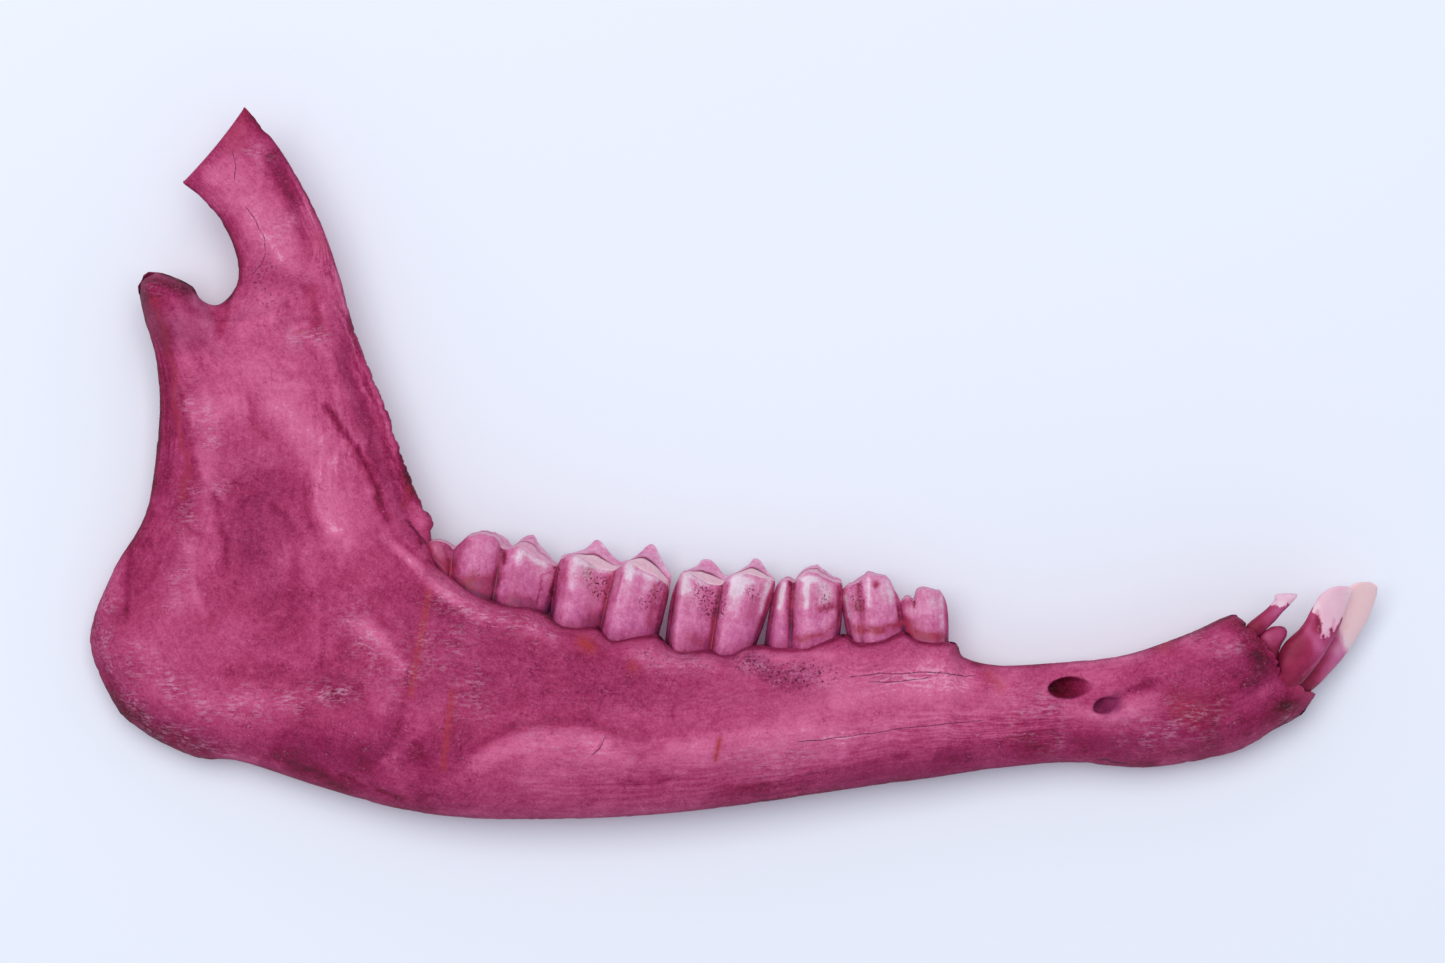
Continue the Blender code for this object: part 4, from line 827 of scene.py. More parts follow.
def bone_marks(x, y, z, side, to_edge):
    """Point attributes of the bone: tone, hue, rust, scuff, speck, fibre and the crack fields. The inner
    face shares the broad marks faded by half, as the dye soaked through. Painted shade darkens the thin
    edges, turning them towards purple, the line where the bone meets the teeth, and the holes."""
    places = np.stack([x, y, z], axis=1)
    bend = [BEND * lattice_noise(places, BEND_CELL, seed)
            + SMALL_BEND * lattice_noise(places, SMALL_BEND_CELL, seed + 2) for seed in (41, 42)]
    bx, by = x + bend[0], y + bend[1]
    fx, fy = x + FINE_SHARE * bend[0], y + FINE_SHARE * bend[1]
    share = np.where(side > 0, 1.0, INNER_SHARE)
    tone = MIDDLE_TONE + share * bells(bx, by, TONE_MARKS)
    tone += (side > 0) * bells(fx, fy, FINE_MARKS)
    # painted shade along the edges
    tone -= EDGE_PAINTED_SHADE * hill(to_edge, 0, EDGE_REACH)
    # painted shade where the bone meets the teeth
    tone -= GUM_PAINTED_SHADE * (side > 0) * hill(distance_to_line(x, y, GUM_LINE), 0, GUM_REACH)
    clouds, mottles = layered_noise(places, CLOUD_CELL, 51), layered_noise(places, MOTTLE_CELL, 55, 2)
    tone += CLOUD_TONE * clouds + MOTTLE_TONE * mottles
    # painted shade inside the holes, darkest where they are deepest
    for hole, painted_shade in zip(FORAMINA, HOLE_PAINTED_SHADE):
        tone -= painted_shade * hole_shape(x, y, hole)[1] ** 0.6 * (side > 0)
    tone -= INNER_HOLE_PAINTED_SHADE * hole_shape(x, y, INNER_FORAMEN)[1] * (side < 0)
    hue = share * bells(bx, by, HUE_MARKS) + CLOUD_HUE * layered_noise(places, CLOUD_HUE_CELL, 61)
    # the edges' painted shade turns them towards purple
    hue -= EDGE_SHADE_HUE * hill(to_edge, 0, EDGE_HUE_REACH)
    crack_side, crack_near = crack_fields(fx, fy)
    return {
        "tone": tone,
        "hue": hue,
        "rust": RUST_STRENGTH * bells(x, y, RUST_MARKS) * (side > 0),
        "scuff": share * bells(bx, by, SCUFF_MARKS),
        "speck": SPECKS_ALL_OVER + share * bells(bx, by, SPECK_MARKS),
        "fibre": share * bells(bx, by, FIBRE_MARKS),
        "crack_side": crack_side,
        "crack_near": crack_near * (side > 0),
    }


# Dry bone soaked in a magenta dye: compact bone with long fibres, so the dye lies in streaks along the
# jaw. It is almost matt, a little smoother where it is pale and hard, and its pores show as fine grain.
BONE_STOPS = (
    (0.0, "#400816"), (0.125, "#640a26"), (0.25, "#84103c"), (0.3125, "#8f184a"), (0.375, "#982152"),
    (0.5, "#ad3463"), (0.625, "#bd4876"), (0.75, "#cd5a86"), (0.9, "#da6c96"), (0.999, "#e690b0"),
)
FIBRE_LENGTH, FIBRE_WIDTH = 6.0, 0.50  # millimetres
SCRATCH_LENGTH, SCRATCH_WIDTH = 1.6, 0.4
# Noises: cell in millimetres, detail, and the strength of each finer layer beside the one before it
BONE_NOISES = {
    "grain": (0.8, 4.0, 0.65), "pores": (0.32, 2.0, 0.6), "patches": (2.4, 3.0, 0.6),
    "veins": (3.4, 4.0, 0.55), "flecks": (0.36, 3.0, 0.7), "grit": (0.40, 3.0, 0.7),
}
FIBRE_TONE, GRAIN_TONE, PORE_TONE = 0.9, 1.6, 1.6  # how many steps of tone each noise spans
NOISE_MEAN = (FIBRE_TONE + GRAIN_TONE + PORE_TONE) / 2


def dyed_bone():
    """Material of the bone: colour from tone, hue and stains, broken by fibres, grain, veins and specks."""
    material, tree, surface = new_material("dry bone dyed magenta")
    place = add_node(tree, "TexCoord").outputs["Object"]
    read = {name: add_node(tree, "Attribute", attribute_name=name).outputs["Fac"]
            for name in ("tone", "hue", "rust", "scuff", "speck", "fibre", "crack_side", "crack_near")}
    grain, pores, patches, slow, fine, grit = (
        add_node(tree, "TexNoise", Vector=place, Scale=1 / (cell * MM), Detail=detail, Roughness=layer)
        for cell, detail, layer in BONE_NOISES.values()
    )
    lengthwise = add_node(tree, "Attribute", attribute_name="grain").outputs["Vector"]
    along = add_node(tree, "Mapping", Vector=lengthwise, Scale=(1 / FIBRE_LENGTH, 1 / FIBRE_WIDTH, 1.0))
    fibres = add_node(tree, "TexNoise", Vector=along, Scale=1.0, Detail=3.0, Roughness=0.6)

    # tone of the dye: the marks, the noises, thin dark veins where a slow noise crosses its middle, streaks
    off_middle = add_node(tree, "Math", operation="SUBTRACT", Value=slow, Value_001=0.5)
    off_middle = add_node(tree, "Math", operation="ABSOLUTE", Value=off_middle)
    vein = add_node(tree, "MapRange", Value=off_middle, From_Min=0.0, From_Max=0.014, To_Min=-0.7, To_Max=0.0)
    veined = add_node(tree, "MapRange", Value=patches, From_Min=0.46, From_Max=0.60)
    streaks = add_node(tree, "MapRange", Value=fibres, From_Min=0.42, From_Max=0.62, To_Min=-0.8, To_Max=1.1)
    tone = read["tone"]
    for part, gain in ((fibres, FIBRE_TONE), (grain, GRAIN_TONE), (pores, PORE_TONE), (vein, veined),
                           (streaks, read["fibre"])):
        tone = add_node(tree, "Math", operation="MULTIPLY_ADD", Value=part, Value_001=gain, Value_002=tone)
    share = add_node(tree, "MapRange", Value=tone, From_Min=NOISE_MEAN - 2, From_Max=NOISE_MEAN + 2)

    # hue, towards red or purple, and rust in the pores
    hue = add_node(tree, "Math", operation="ADD", Value=read["hue"], Value_001=grain)
    redder = add_node(tree, "MapRange", Value=hue, From_Min=0.65, From_Max=1.7, To_Max=0.55)
    bluer = add_node(tree, "MapRange", Value=hue, From_Min=0.35, From_Max=-2.4, To_Max=0.80)
    in_pores = add_node(tree, "MapRange", Value=pores, From_Min=0.3, From_Max=0.6, To_Min=0.4)
    rust = add_node(tree, "Math", operation="MULTIPLY", Value=read["rust"], Value_001=in_pores)

    # white scuffs in short scratches and patches, and single pale flecks all over
    turned = add_node(tree, "Mapping", Vector=place, Rotation=(0.0, 0.0, 0.12),
                      Scale=(SCRATCH_WIDTH / SCRATCH_LENGTH, 1.0, 1.0))
    scratches = add_node(tree, "TexNoise", Vector=turned, Scale=1 / (SCRATCH_WIDTH * MM), Detail=4.0,
                         Roughness=0.75)
    scratches = add_node(tree, "MapRange", Value=scratches, From_Min=0.48, From_Max=0.60)
    in_patches = add_node(tree, "MapRange", Value=patches, From_Min=0.42, From_Max=0.58, To_Min=0.25)
    flecks = add_node(tree, "MapRange", Value=fine, From_Min=0.60, From_Max=0.70, To_Max=0.34)
    flecks = add_node(tree, "Math", operation="MULTIPLY", Value=flecks, Value_001=veined)
    scuff = add_node(tree, "Math", operation="MULTIPLY", Value=read["scuff"], Value_001=in_patches)
    scuff = add_node(tree, "Math", operation="MULTIPLY", Value=scuff, Value_001=scratches)
    scuff = add_node(tree, "Math", operation="MULTIPLY_ADD", Value=scuff, Value_001=0.66, Value_002=flecks)

    # grit in the pores with pale grains between, and the cracks
    granules = add_node(tree, "MapRange", Value=grit, From_Min=0.45, From_Max=0.37, To_Max=0.32)
    granules = add_node(tree, "Math", operation="MULTIPLY", use_clamp=True, Value=read["speck"],
                        Value_001=granules)
    dots = add_node(tree, "MapRange", Value=grit, From_Min=0.57, From_Max=0.64, To_Max=0.80)
    speck = add_node(tree, "Math", operation="MULTIPLY", Value=read["speck"], Value_001=dots)
    wobble = add_node(tree, "Math", operation="MULTIPLY_ADD", Value=pores, Value_001=3.0, Value_002=-1.5)
    line = add_node(tree, "Math", operation="ADD", Value=read["crack_side"], Value_001=wobble)
    line = add_node(tree, "Math", operation="ABSOLUTE", Value=line)
    line = add_node(tree, "MapRange", Value=line, From_Min=1.7, From_Max=0.3)
    broken = add_node(tree, "MapRange", Value=grain, From_Min=0.36, From_Max=0.52, To_Min=0.25, To_Max=0.85)
    crack = add_node(tree, "Math", operation="MULTIPLY", Value=line, Value_001=read["crack_near"])
    crack = add_node(tree, "Math", operation="MULTIPLY", Value=crack, Value_001=broken)

    # the dye's colour, with each of these laid over the one before
    colour = add_node(tree, "ValToRGB", Fac=share, stops=BONE_STOPS)
    for cover, stain in ((redder, "#a52a44"), (bluer, "#8a2d5e"), (rust, "#ac3236"), (scuff, "#e0a2be"),
                         (granules, "#c9779f"), (speck, "#4a0f28"), (crack, "#551431")):
        colour = add_node(tree, "Mix", data_type="RGBA", Factor_Float=cover, A_Color=colour,
                          B_Color=hex_linear(stain))

    # surface: the noises stand out a little, pale hard bone is smoother than dark porous bone
    height = pores
    for part, gain in ((grain, 1.6), (fibres, 1.4), (crack, -3.0)):
        height = add_node(tree, "Math", operation="MULTIPLY_ADD", Value=part, Value_001=gain,
                          Value_002=height)
    bump = add_node(tree, "Bump", Height=height, Strength=0.55, Distance=0.000125)
    rough = add_node(tree, "MapRange", Value=share, From_Min=0.25, From_Max=0.8, To_Min=0.74, To_Max=0.55)
    shader = add_node(tree, "BsdfPrincipled", Base_Color=colour, Roughness=rough, Normal=bump, IOR=1.5,
                      Specular_IOR_Level=0.2)
    tree.links.new(shader.outputs["BSDF"], surface)
    return material


# Steps that close the ends: how much thinner, how much narrower, and millimetres outwards. The tip of
# the coronoid process is rounded off; the broken front end has a rim and is hollow inside it.
TIP_STEPS = ((0.1, 0.0, 0.1), (0.35, 0.01, 0.2), (0.7, 0.02, 0.26), (0.97, 0.03, 0.28))
RIM_STEPS = (
    (0.06, 0.02, 0.06), (0.12, 0.06, 0.0), (0.16, 0.09, -0.4), (0.2, 0.12, -1.2), (0.45, 0.3, -2.2),
    (0.9, 0.55, -2.6),
)
FACES_APART = 5  # keeps the pattern of the fibres on one face unlike that on the other
ROWS_BACK = 8  # the row so far from the end gives the direction of outwards
bone_rows = bone_surface()
front_rows = end_rows(bone_rows[0], bone_rows[ROWS_BACK], RIM_STEPS)
top_rows = end_rows(bone_rows[-1], bone_rows[-1 - ROWS_BACK], TIP_STEPS)
bone_rows = np.concatenate([top_rows[::-1], bone_rows[::-1], front_rows])
around = 2 * FACE_STRIPS
bone_faces = list(grid_faces(len(bone_rows), around))
k = np.arange(FACE_STRIPS)
opposite = (-k) % around
first_cap = np.stack([k, (k + 1) % around, (-(k + 1)) % around, opposite], axis=1)
last_cap = (len(bone_rows) - 1) * around + first_cap[:, ::-1]
for cap in (first_cap, last_cap):
    bone_faces += [np.array(sorted(set(face), key=list(face).index)) for face in cap]
bone_points = bone_rows.reshape(-1, 7)
bone_attributes = bone_marks(*bone_points[:, :3].T, *bone_points[:, 5:].T)
bone_attributes["grain"] = bone_points[:, 3:6] * (1, 1, FACES_APART)
bone = new_piece("bone", bone_points[:, :3], bone_faces, dyed_bone(), bone_attributes)


# The cheek teeth: three premolars and three molars, enamel over dentine, dyed pink. Each is a skin
# carried along the tooth: up the outer wall, over the chewing face with its crescent pits, and down
# the inner wall to the root, which sits in its socket in the bone.

# Stations from the back of the tooth to its front: gum X, Y, outer rim X, Y, inner rim X, Y, and how
# far the outer wall stands out there as a share of the tooth's half width
MOLAR_3 = (
    (-39.3, -12, -40, -10.9, -40, -10.7, 0.45), (-38.5, -12.9, -39.3, -10.2, -39.4, -10, 0.66),
    (-37.6, -13.7, -38.3, -10.1, -38.2, -9.9, 0.74), (-37, -14.2, -37.2, -10.3, -37.2, -10.1, 0.7),
    (-36.6, -14.6, -36.3, -11.1, -36.2, -10.7, 0.58), (-35.8, -15.3, -35.4, -10.3, -35.4, -10.1, 0.84),
    (-34.6, -16.1, -34.3, -9.6, -34.1, -9.2, 1), (-33.2, -16.7, -32.8, -9.2, -32.7, -8.8, 1.02),
    (-32.2, -17.1, -31.5, -9.3, -31.4, -8.8, 0.94), (-31.5, -17.4, -30.6, -9.7, -30.4, -9.2, 0.8),
    (-31.1, -17.6, -30, -11, -29.4, -9.9, 0.6), (-30.4, -18, -29.1, -11.1, -28.7, -10.7, 0.8),
    (-29.2, -18.5, -27.8, -10.7, -27.6, -9.8, 1), (-27.9, -18.7, -27, -11.1, -26.7, -9.3, 0.97),
    (-26.7, -18.8, -25.9, -12, -25.9, -9.5, 0.84), (-25.7, -18.9, -24.7, -12.6, -25, -10.8, 0.68),
    (-24.9, -19, -23.5, -13, -23.7, -12.1, 0.5), (-24.3, -19.2, -22.9, -13.3, -22.9, -12.9, 0.34),
)
MOLAR_2 = (
    (-23.5, -20.3, -22.6, -12.9, -22.6, -12.7, 0.42), (-23.1, -20.7, -22.2, -12.3, -22.1, -11.8, 0.78),
    (-22.2, -21.1, -21.2, -11.9, -20.9, -11.6, 1), (-21, -21.3, -20, -12, -19.6, -11.2, 0.99),
    (-19.8, -21.3, -19, -12.6, -18.7, -10.6, 0.9), (-18.8, -21.3, -18, -13.3, -17.8, -9.9, 0.76),
    (-18, -21.3, -17.2, -13.7, -17, -10.4, 0.64), (-17.5, -21.3, -16.2, -13.9, -16.1, -11.6, 0.54),
    (-17.2, -21.4, -15.4, -13.9, -15, -12.7, 0.46), (-17, -21.8, -14.8, -13.4, -14, -12.6, 0.72),
    (-16.3, -22.6, -14.1, -12.8, -13, -12.2, 1), (-15.4, -23, -13.4, -12.9, -12, -11.4, 1),
    (-14.2, -22.9, -12.4, -13.5, -10.9, -10.5, 0.92), (-12.9, -22.7, -11.4, -14.1, -10.2, -10.8, 0.8),
    (-11.8, -22.6, -10.2, -14.6, -9.6, -12, 0.66), (-10.9, -22.5, -9.4, -15.1, -8.9, -13.3, 0.5),
    (-10.2, -22.4, -8.8, -15.6, -8.1, -14.5, 0.32),
)
MOLAR_1 = (
    (-8.5, -23.3, -7.3, -15.3, -7.3, -15.2, 0.4), (-8.1, -23.7, -7, -14.7, -6.8, -14.2, 0.8),
    (-7.7, -24.2, -6.4, -14.1, -5.9, -13.8, 1), (-6.7, -24.5, -5.4, -14.3, -4.8, -13.3, 0.97),
    (-5.5, -24.4, -4.4, -15, -4.1, -12.6, 0.88), (-4.5, -24.4, -3.3, -15.6, -3.1, -12.5, 0.74),
    (-3.6, -24.2, -2.3, -15.8, -2.1, -13.4, 0.58), (-2.9, -24.1, -1.5, -15.7, -1.2, -14.5, 0.46),
    (-2.7, -24.4, -1.1, -15.2, -0.3, -14.4, 0.72), (-2, -24.8, -0.3, -14.6, 0.7, -14, 1),
    (-1, -25, 0.8, -14.3, 1.9, -13.2, 1), (0.1, -24.8, 2, -14.4, 2.7, -12.4, 0.92),
    (1, -24.4, 3.2, -14.7, 3.6, -12.8, 0.78), (1.9, -24, 4.4, -15, 4.3, -13.9, 0.56),
    (2.5, -23.7, 5.4, -15.2, 5.3, -14.9, 0.34),
)
PREMOLAR_4 = (
    (4.4, -23.5, 5.7, -15.7, 5.8, -15.4, 0.4), (5, -24, 6.2, -15.2, 6.4, -14.9, 0.72),
    (5.9, -24.1, 6.8, -15, 7.1, -14.6, 0.82), (6.8, -24.2, 7.3, -15.1, 7.6, -14.8, 0.68),
    (7.4, -24.2, 7.7, -15.5, 8, -15.1, 0.52), (7.9, -24.2, 8.3, -15, 8.5, -14.4, 0.8),
    (8.6, -24.3, 8.9, -14.4, 9.3, -13.6, 1), (9.7, -24.2, 9.8, -14.1, 10.1, -13.3, 1),
    (10.7, -24, 10.9, -14.4, 11, -13.3, 0.88), (11.8, -23.6, 11.9, -14.9, 11.9, -13.9, 0.72),
    (12.7, -23.2, 12.8, -15.3, 12.8, -14.6, 0.6), (13, -22.9, 13.5, -15.5, 13.5, -14.9, 0.48),
    (13.35, -22.8, 13.9, -15.5, 14, -15.1, 0.3),
)
PREMOLAR_3 = (
    (15.3, -23.1, 14.2, -16.4, 14.2, -16.3, 0.4), (15.6, -23.3, 14.7, -15.9, 14.9, -15.7, 0.72),
    (16.1, -23.6, 15.4, -15.7, 15.5, -15.4, 0.84), (16.7, -23.6, 16.1, -15.5, 16.2, -14.9, 0.8),
    (17.4, -23.5, 16.7, -14.9, 17, -14.4, 0.94), (18.4, -23.3, 17.5, -14.4, 17.7, -14.1, 1),
    (19.4, -23.1, 18.5, -14.4, 18.7, -14.2, 0.9), (20.3, -22.8, 19.6, -14.7, 19.6, -14.5, 0.72),
    (21.1, -22.4, 20.3, -15.4, 20.3, -15.1, 0.52), (21.8, -22, 21, -16.6, 21, -16.4, 0.3),
)
PREMOLAR_2 = (
    (22.2, -21.6, 21.6, -18, 21.6, -17.9, 0.45), (22.8, -22.3, 22.2, -17.6, 22.2, -17.4, 0.75),
    (23.5, -22.8, 22.8, -17.5, 22.8, -17.3, 0.92), (24, -23.1, 23.4, -17.8, 23.4, -17.6, 0.93),
    (24.6, -23.3, 23.8, -16.8, 23.8, -16.5, 0.97), (25.4, -23.4, 24.5, -16.4, 24.5, -16.2, 1),
    (26.3, -23.5, 25.4, -16.4, 25.4, -16.3, 0.95), (26.9, -23.6, 26.1, -16.5, 26.1, -16.4, 0.75),
    (27.2, -23.6, 26.8, -16.7, 26.8, -16.5, 0.55), (27.5, -23.5, 27.3, -17.2, 27.3, -17.1, 0.3),
)
# Name, stations, height of the middle, width, how deeply the chewing face is worn, the stations at the
# ridges of the lobes, the stations in the valleys between them, and how pale the crown is
CHEEK_TEETH = (
    ("molar_3", MOLAR_3, 9.4, 7.6, 0.45, (2.0, 7.0, 13.2), (4.0, 10.0), -0.30),
    ("molar_2", MOLAR_2, 9.2, 8.0, 1.0, (5.0, 12.2), (8.0,), 0.12),
    ("molar_1", MOLAR_1, 8.8, 7.6, 1.0, (4.6, 11.0), (7.0,), 0.15),
    ("premolar_4", PREMOLAR_4, 8.4, 6.4, 0.6, (2.0, 6.6), (4.0,), 0.15),
    ("premolar_3", PREMOLAR_3, 8.0, 5.2, 0.35, (1.6, 5.0), (3.0,), 0.25),
    ("premolar_2", PREMOLAR_2, 7.7, 4.2, 0.25, (1.4, 5.4), (), 0.25),
)
# Marks on the outer walls, as on the bone: whitish streaks down the ridges, brown patches, dark edges
WALL_TONES = (
    # last molar: heel, smooth middle lobe, front lobe with its split
    (-39.4, -11.9, -38.4, -13, -37.4, -14, 1.2, -0.95), (-38.5, -10.9, -38.9, -11.8, 0.22, 0.7),
    (-38.7, -10.8, -38, -12.2, 0.3, 0.45), (-37.3, -10.8, -37, -13, 0.4, -0.45),
    (-33.6, -10.4, -31.6, -10.2, 1.5, 0.22), (-35, -15.3, -33, -15, -31, -15.2, 0.8, -0.5),
    (-34.6, -16.2, -31.8, -17.4, 0.7, -0.55), (-35.5, -12, -36, -15, 0.7, -0.35),
    (-29.65, -11.5, -29.6, -12.9, 0.28, -1.3), (-27.7, -11.3, -27.9, -12.6, 0.75, 1.15, 3),
    (-27, -11.7, -25.4, -12.6, -24.2, -13.1, 0.4, 0.85), (-29.1, -13.4, -29.9, -16.6, 0.55, 0.45),
    (-26.2, -13.6, -26.4, -16.4, 0.8, 0.3),
    (-23.6, -13.9, -24.8, -14.7, -25, -16.2, -25.5, -18.2, 0.13, -0.9),
    (-28.6, -17.4, -26.2, -17.9, 0.7, -0.4), (-38, -10.2, -34.4, -10.4, 0.9, -0.6),
    (-33.6, -13, -32, -12.2, 1, 0.3), (-26, -10.8, -24.2, -14.6, 0.9, 0.6),
    (-24.6, -19.4, -23.4, -20.6, 0.8, 0.4),
    # second molar
    (-21.9, -12.6, -21.7, -17, 0.6, -0.8), (-16.6, -14, -17, -16, 0.6, -0.5), (-17.4, -19.6, 0.9, -0.4),
    (-10.9, -16, 1, 0.6), (-20, -13, -18.8, -14.4, 0.7, 0.45), (-22.3, -14, -23.1, -19, 0.35, -0.5),
    (-20.6, -12.7, -20.9, -15.8, 0.75, 0.7, 2.5),
    (-20.2, -12.4, -18.9, -13.1, -17.2, -13.9, -15.9, -14.1, 0.3, 1),
    (-18.4, -15.6, -17.9, -17.2, 0.9, 0.1), (-19, -20.2, -17.6, -20.6, 1, -0.75),
    (-15.9, -14.6, -16.6, -17.4, -17.2, -20.6, 0.45, -0.6), (-13.5, -13.3, -13.5, -14.8, 0.6, 1.05, 2.5),
    (-13, -13.7, -11.2, -14.6, -9.8, -15.2, 0.4, 0.75), (-14.4, -14.2, -15.2, -17.6, 0.22, -0.6),
    (-13.9, -16, -15, -20.6, 0.9, 0.35, 3), (-9.9, -15.8, -10.9, -20.6, 0.65, -0.65),
    # first molar, its front ridge the whitest streak of all
    (-6.4, -14.6, -6.2, -16.4, 0.8, 1.05, 2.5), (-7.2, -15.6, -8, -20.4, 0.35, -0.45),
    (-5.9, -14.5, -4.5, -15.3, -3.3, -15.95, 0.22, 0.9), (-3.4, -16.8, -3.2, -19.2, 1.1, -0.45, 3),
    (-5.6, -22.2, -4.2, -22.8, 1, -0.65), (4.6, -14.8, 4.8, -16.4, 0.8, 0.8),
    (-1.7, -15.8, -2.4, -19.6, -2.9, -23.6, 0.4, -0.75), (0.75, -14.9, 0.5, -16.4, 0.85, 1.3, 2.4),
    (0.4, -16.8, -0.1, -18.6, 0.9, 0.65), (-1, -15.6, -1.5, -19.2, 0.4, -0.35),
    (2.4, -16.8, 2.2, -18.6, 0.95, 0.05, 4), (1.9, -15.2, 2.8, -15.5, 0.4, 0.6),
    (4.4, -16, 3.5, -19.4, 0.32, 1), (-0.6, -15.2, 1.8, -15.6, 0.6, 0.6),
    (5.2, -15.8, 3.3, -21.8, 0.32, -0.7),
    # last premolar
    (6.6, -15.5, 5.9, -18.8, 0.36, 1.15), (7.5, -15.5, 0.42, -1.8),
    (7.6, -15.8, 7.2, -18.8, 7.5, -22.6, 0.42, -1), (8.9, -15, 10.4, -15.1, 0.6, 0.75),
    (9.5, -15.2, 9.4, -18.4, 0.4, 1.15), (11.8, -15.8, 11.8, -17.6, 0.9, 0.6, 4),
    (11.6, -18.6, 12.8, -18.4, 0.6, -0.35), (11.2, -18.9, 13, -18.7, 0.22, -0.75),
    (9.6, -20.6, 12.4, -20.6, 0.9, 0.3), (8, -14.2, 10.6, -15, 0.6, 0.5),
    (13.5, -15.8, 13.8, -21.6, 0.28, -0.95),
    (9, -14.5, 10.3, -14.2, 11.6, -14.7, 12.9, -15.4, 0.18, -0.7),
    # third premolar
    (14.5, -17.2, 14.95, -20, 0.2, 1.1), (16, -15.8, 16.1, -18.4, 0.95, -0.5, 5),
    (16.6, -16.2, 17, -20.6, 0.25, -0.55), (15.1, -19.1, 16.9, -19.1, 17, -17, 0.12, -0.45),
    (17.5, -15, 17.5, -18.6, 0.34, 0.9), (18.4, -15.6, 0.4, -0.75), (20, -15.8, 20.6, -17.6, 0.9, 0.65),
    (15.9, -21.3, 18.6, -21.4, 21.2, -20.9, 0.5, -0.05), (16, -22.8, 20, -22.5, 0.5, 0.3),
    (21.2, -17.4, 21.6, -21, 0.28, -0.65),
    # second premolar
    (22.2, -18, 23.2, -18, 0.45, -0.75), (24.2, -17.4, 0.7, -0.45),
    (23.35, -17.6, 23.5, -18.5, 0.15, -1.9), (25.8, -18.2, 26, -19.4, 1.1, 0.2),
    (22.4, -20.6, 23.3, -21.7, 25, -22.4, 26.8, -22.4, 0.6, -0.75), (27.2, -17.6, 27.6, -22, 0.5, 0.8),
    (23.4, -20.6, 25.6, -21, 0.8, -0.55), (21.9, -18.4, 22.3, -21.2, 0.28, -0.65),
)
# Reddish brown stains on the outer walls
WALL_RUST = (
    (-39.4, -10.9, -38.2, -12.4, -37.2, -13.6, 1, 0.7), (-36.2, -13.6, -36.6, -14.6, 0.6, 0.5),
    (-35, -15, -33, -14.8, -31, -15, 0.8, 0.6), (-34, -16, -31.4, -16.6, 0.7, 0.5),
    (-28.6, -17.2, -26, -17.8, 0.8, 0.35), (-18.9, -13.8, -17.6, -17.2, 1, 0.45),
    (-18.7, -18.8, -18, -20.6, 0.9, 0.3), (-15.6, -14.2, -16.4, -17, -17.1, -20.4, 0.4, 0.45),
    (-10.1, -15.8, -10.7, -20.6, 0.5, 0.45), (-5.6, -22.7, -4.2, -23.3, 0.9, 0.35),
    (-2.5, -20.4, -2.9, -23.9, 0.35, 0.9), (2.6, -17.8, 2.2, -19.4, 0.7, 0.35),
    (5, -16.4, 3.2, -21.8, 0.4, 0.45), (7.5, -15.4, 7.3, -18.6, 0.4, 0.5),
    (11.2, -18.7, 13, -18.5, 0.6, 0.7), (8.4, -22.7, 11.8, -22.2, 13.2, -20.6, 0.45, 0.8),
    (13.6, -16, 13.8, -21.4, 0.25, 0.6), (15.6, -18.4, 16.6, -18.8, 0.6, 0.5), (18.4, -15.6, 0.42, 0.95),
    (15.8, -21.4, 18.6, -21.6, 21.3, -21, 0.55, 1.15),
    (22.4, -20.6, 23.3, -21.8, 25, -22.5, 26.8, -22.5, 0.6, 1.2), (22.2, -18, 23.3, -18.1, 0.5, 0.35),
)
# Dark grit in the pores of the enamel
WALL_SPECKS = (
    (-33, -14.6, -31.2, -15.2, 1.1, 0.4), (-22.9, -13.4, -22.6, -14.4, 0.35, 1.2),
    (-18.1, -14.8, -17.3, -16.4, 1, 1.1), (-17.5, -17.2, 0.4, 2.5),
    (-16.6, -15.4, -16.8, -17.2, 0.5, 0.9), (-11.6, -17.9, -10.3, -17.5, -9.9, -16.2, 0.6, 1.3),
    (-3.9, -16.9, -2.5, -18.9, 1.2, 1.2), (-1.3, -15.9, -1.8, -19.2, 0.45, 0.7),
    (2.4, -16.6, 3, -17.8, 0.8, 0.6), (11.9, -16.8, 12.2, -18.6, 0.8, 0.5),
    (16, -16, 16.2, -18.4, 0.9, 0.8), (7.5, -15.4, 7.4, -17.4, 0.4, 0.8),
)
TOOTH_ROWS = 130
WALL_STEPS, ROOT_STEPS, CHEW_STEPS = 34, 6, 30
ROOT_LENGTH, CROWN_LENGTH = 4.5, 9.0  # millimetres below the gum, and usually above it
INWARD_LEAN = 0.6
# Half width of the wall as shares of that of the tooth: at the gum, how much it swells just above, how
# much it narrows up to the rim, and how much more the rolled rim narrows
NECK, COLLAR, TAPER, RIM_NARROWING = 0.93, 0.09, 0.05, 0.1
INNER_VALLEYS, INNER_LOBES = 0.84, 0.16  # how far the inner wall stands out, and its lobes beyond that
RIM_CHIPS, WORN_SMOOTH, CHIP_CELL = 0.16, 0.09, 0.9  # millimetres: unworn, less where worn, cell size
UNWORN_DOME = 0.35  # height of an unworn chewing face
CREST_LEAN = 0.1  # how far the crests lean in over the chewing face, as a share of its width
RIM_ROUNDING = 0.05  # share of the wall that rolls over into the chewing face
DENTINE_DIP, PIT_DIP = 0.12, 0.26  # millimetres, on a fully worn tooth
END_STEPS = ((0.18, 0.22), (0.45, 0.40), (0.78, 0.50))  # share that the end shrinks, and how far it bulges


def lobe_shares(places, ridges, valleys):
    """0 in a valley or at an end of the tooth, 1 at the ridge of a lobe, along the stations."""
    marks = sorted([(0.0, 0.0), *((r, 1.0) for r in ridges), *((v, 0.0) for v in valleys)])
    marks.append((places[-1], 0.0))
    knots, values = zip(*marks)
    return np.interp(places, knots, values)


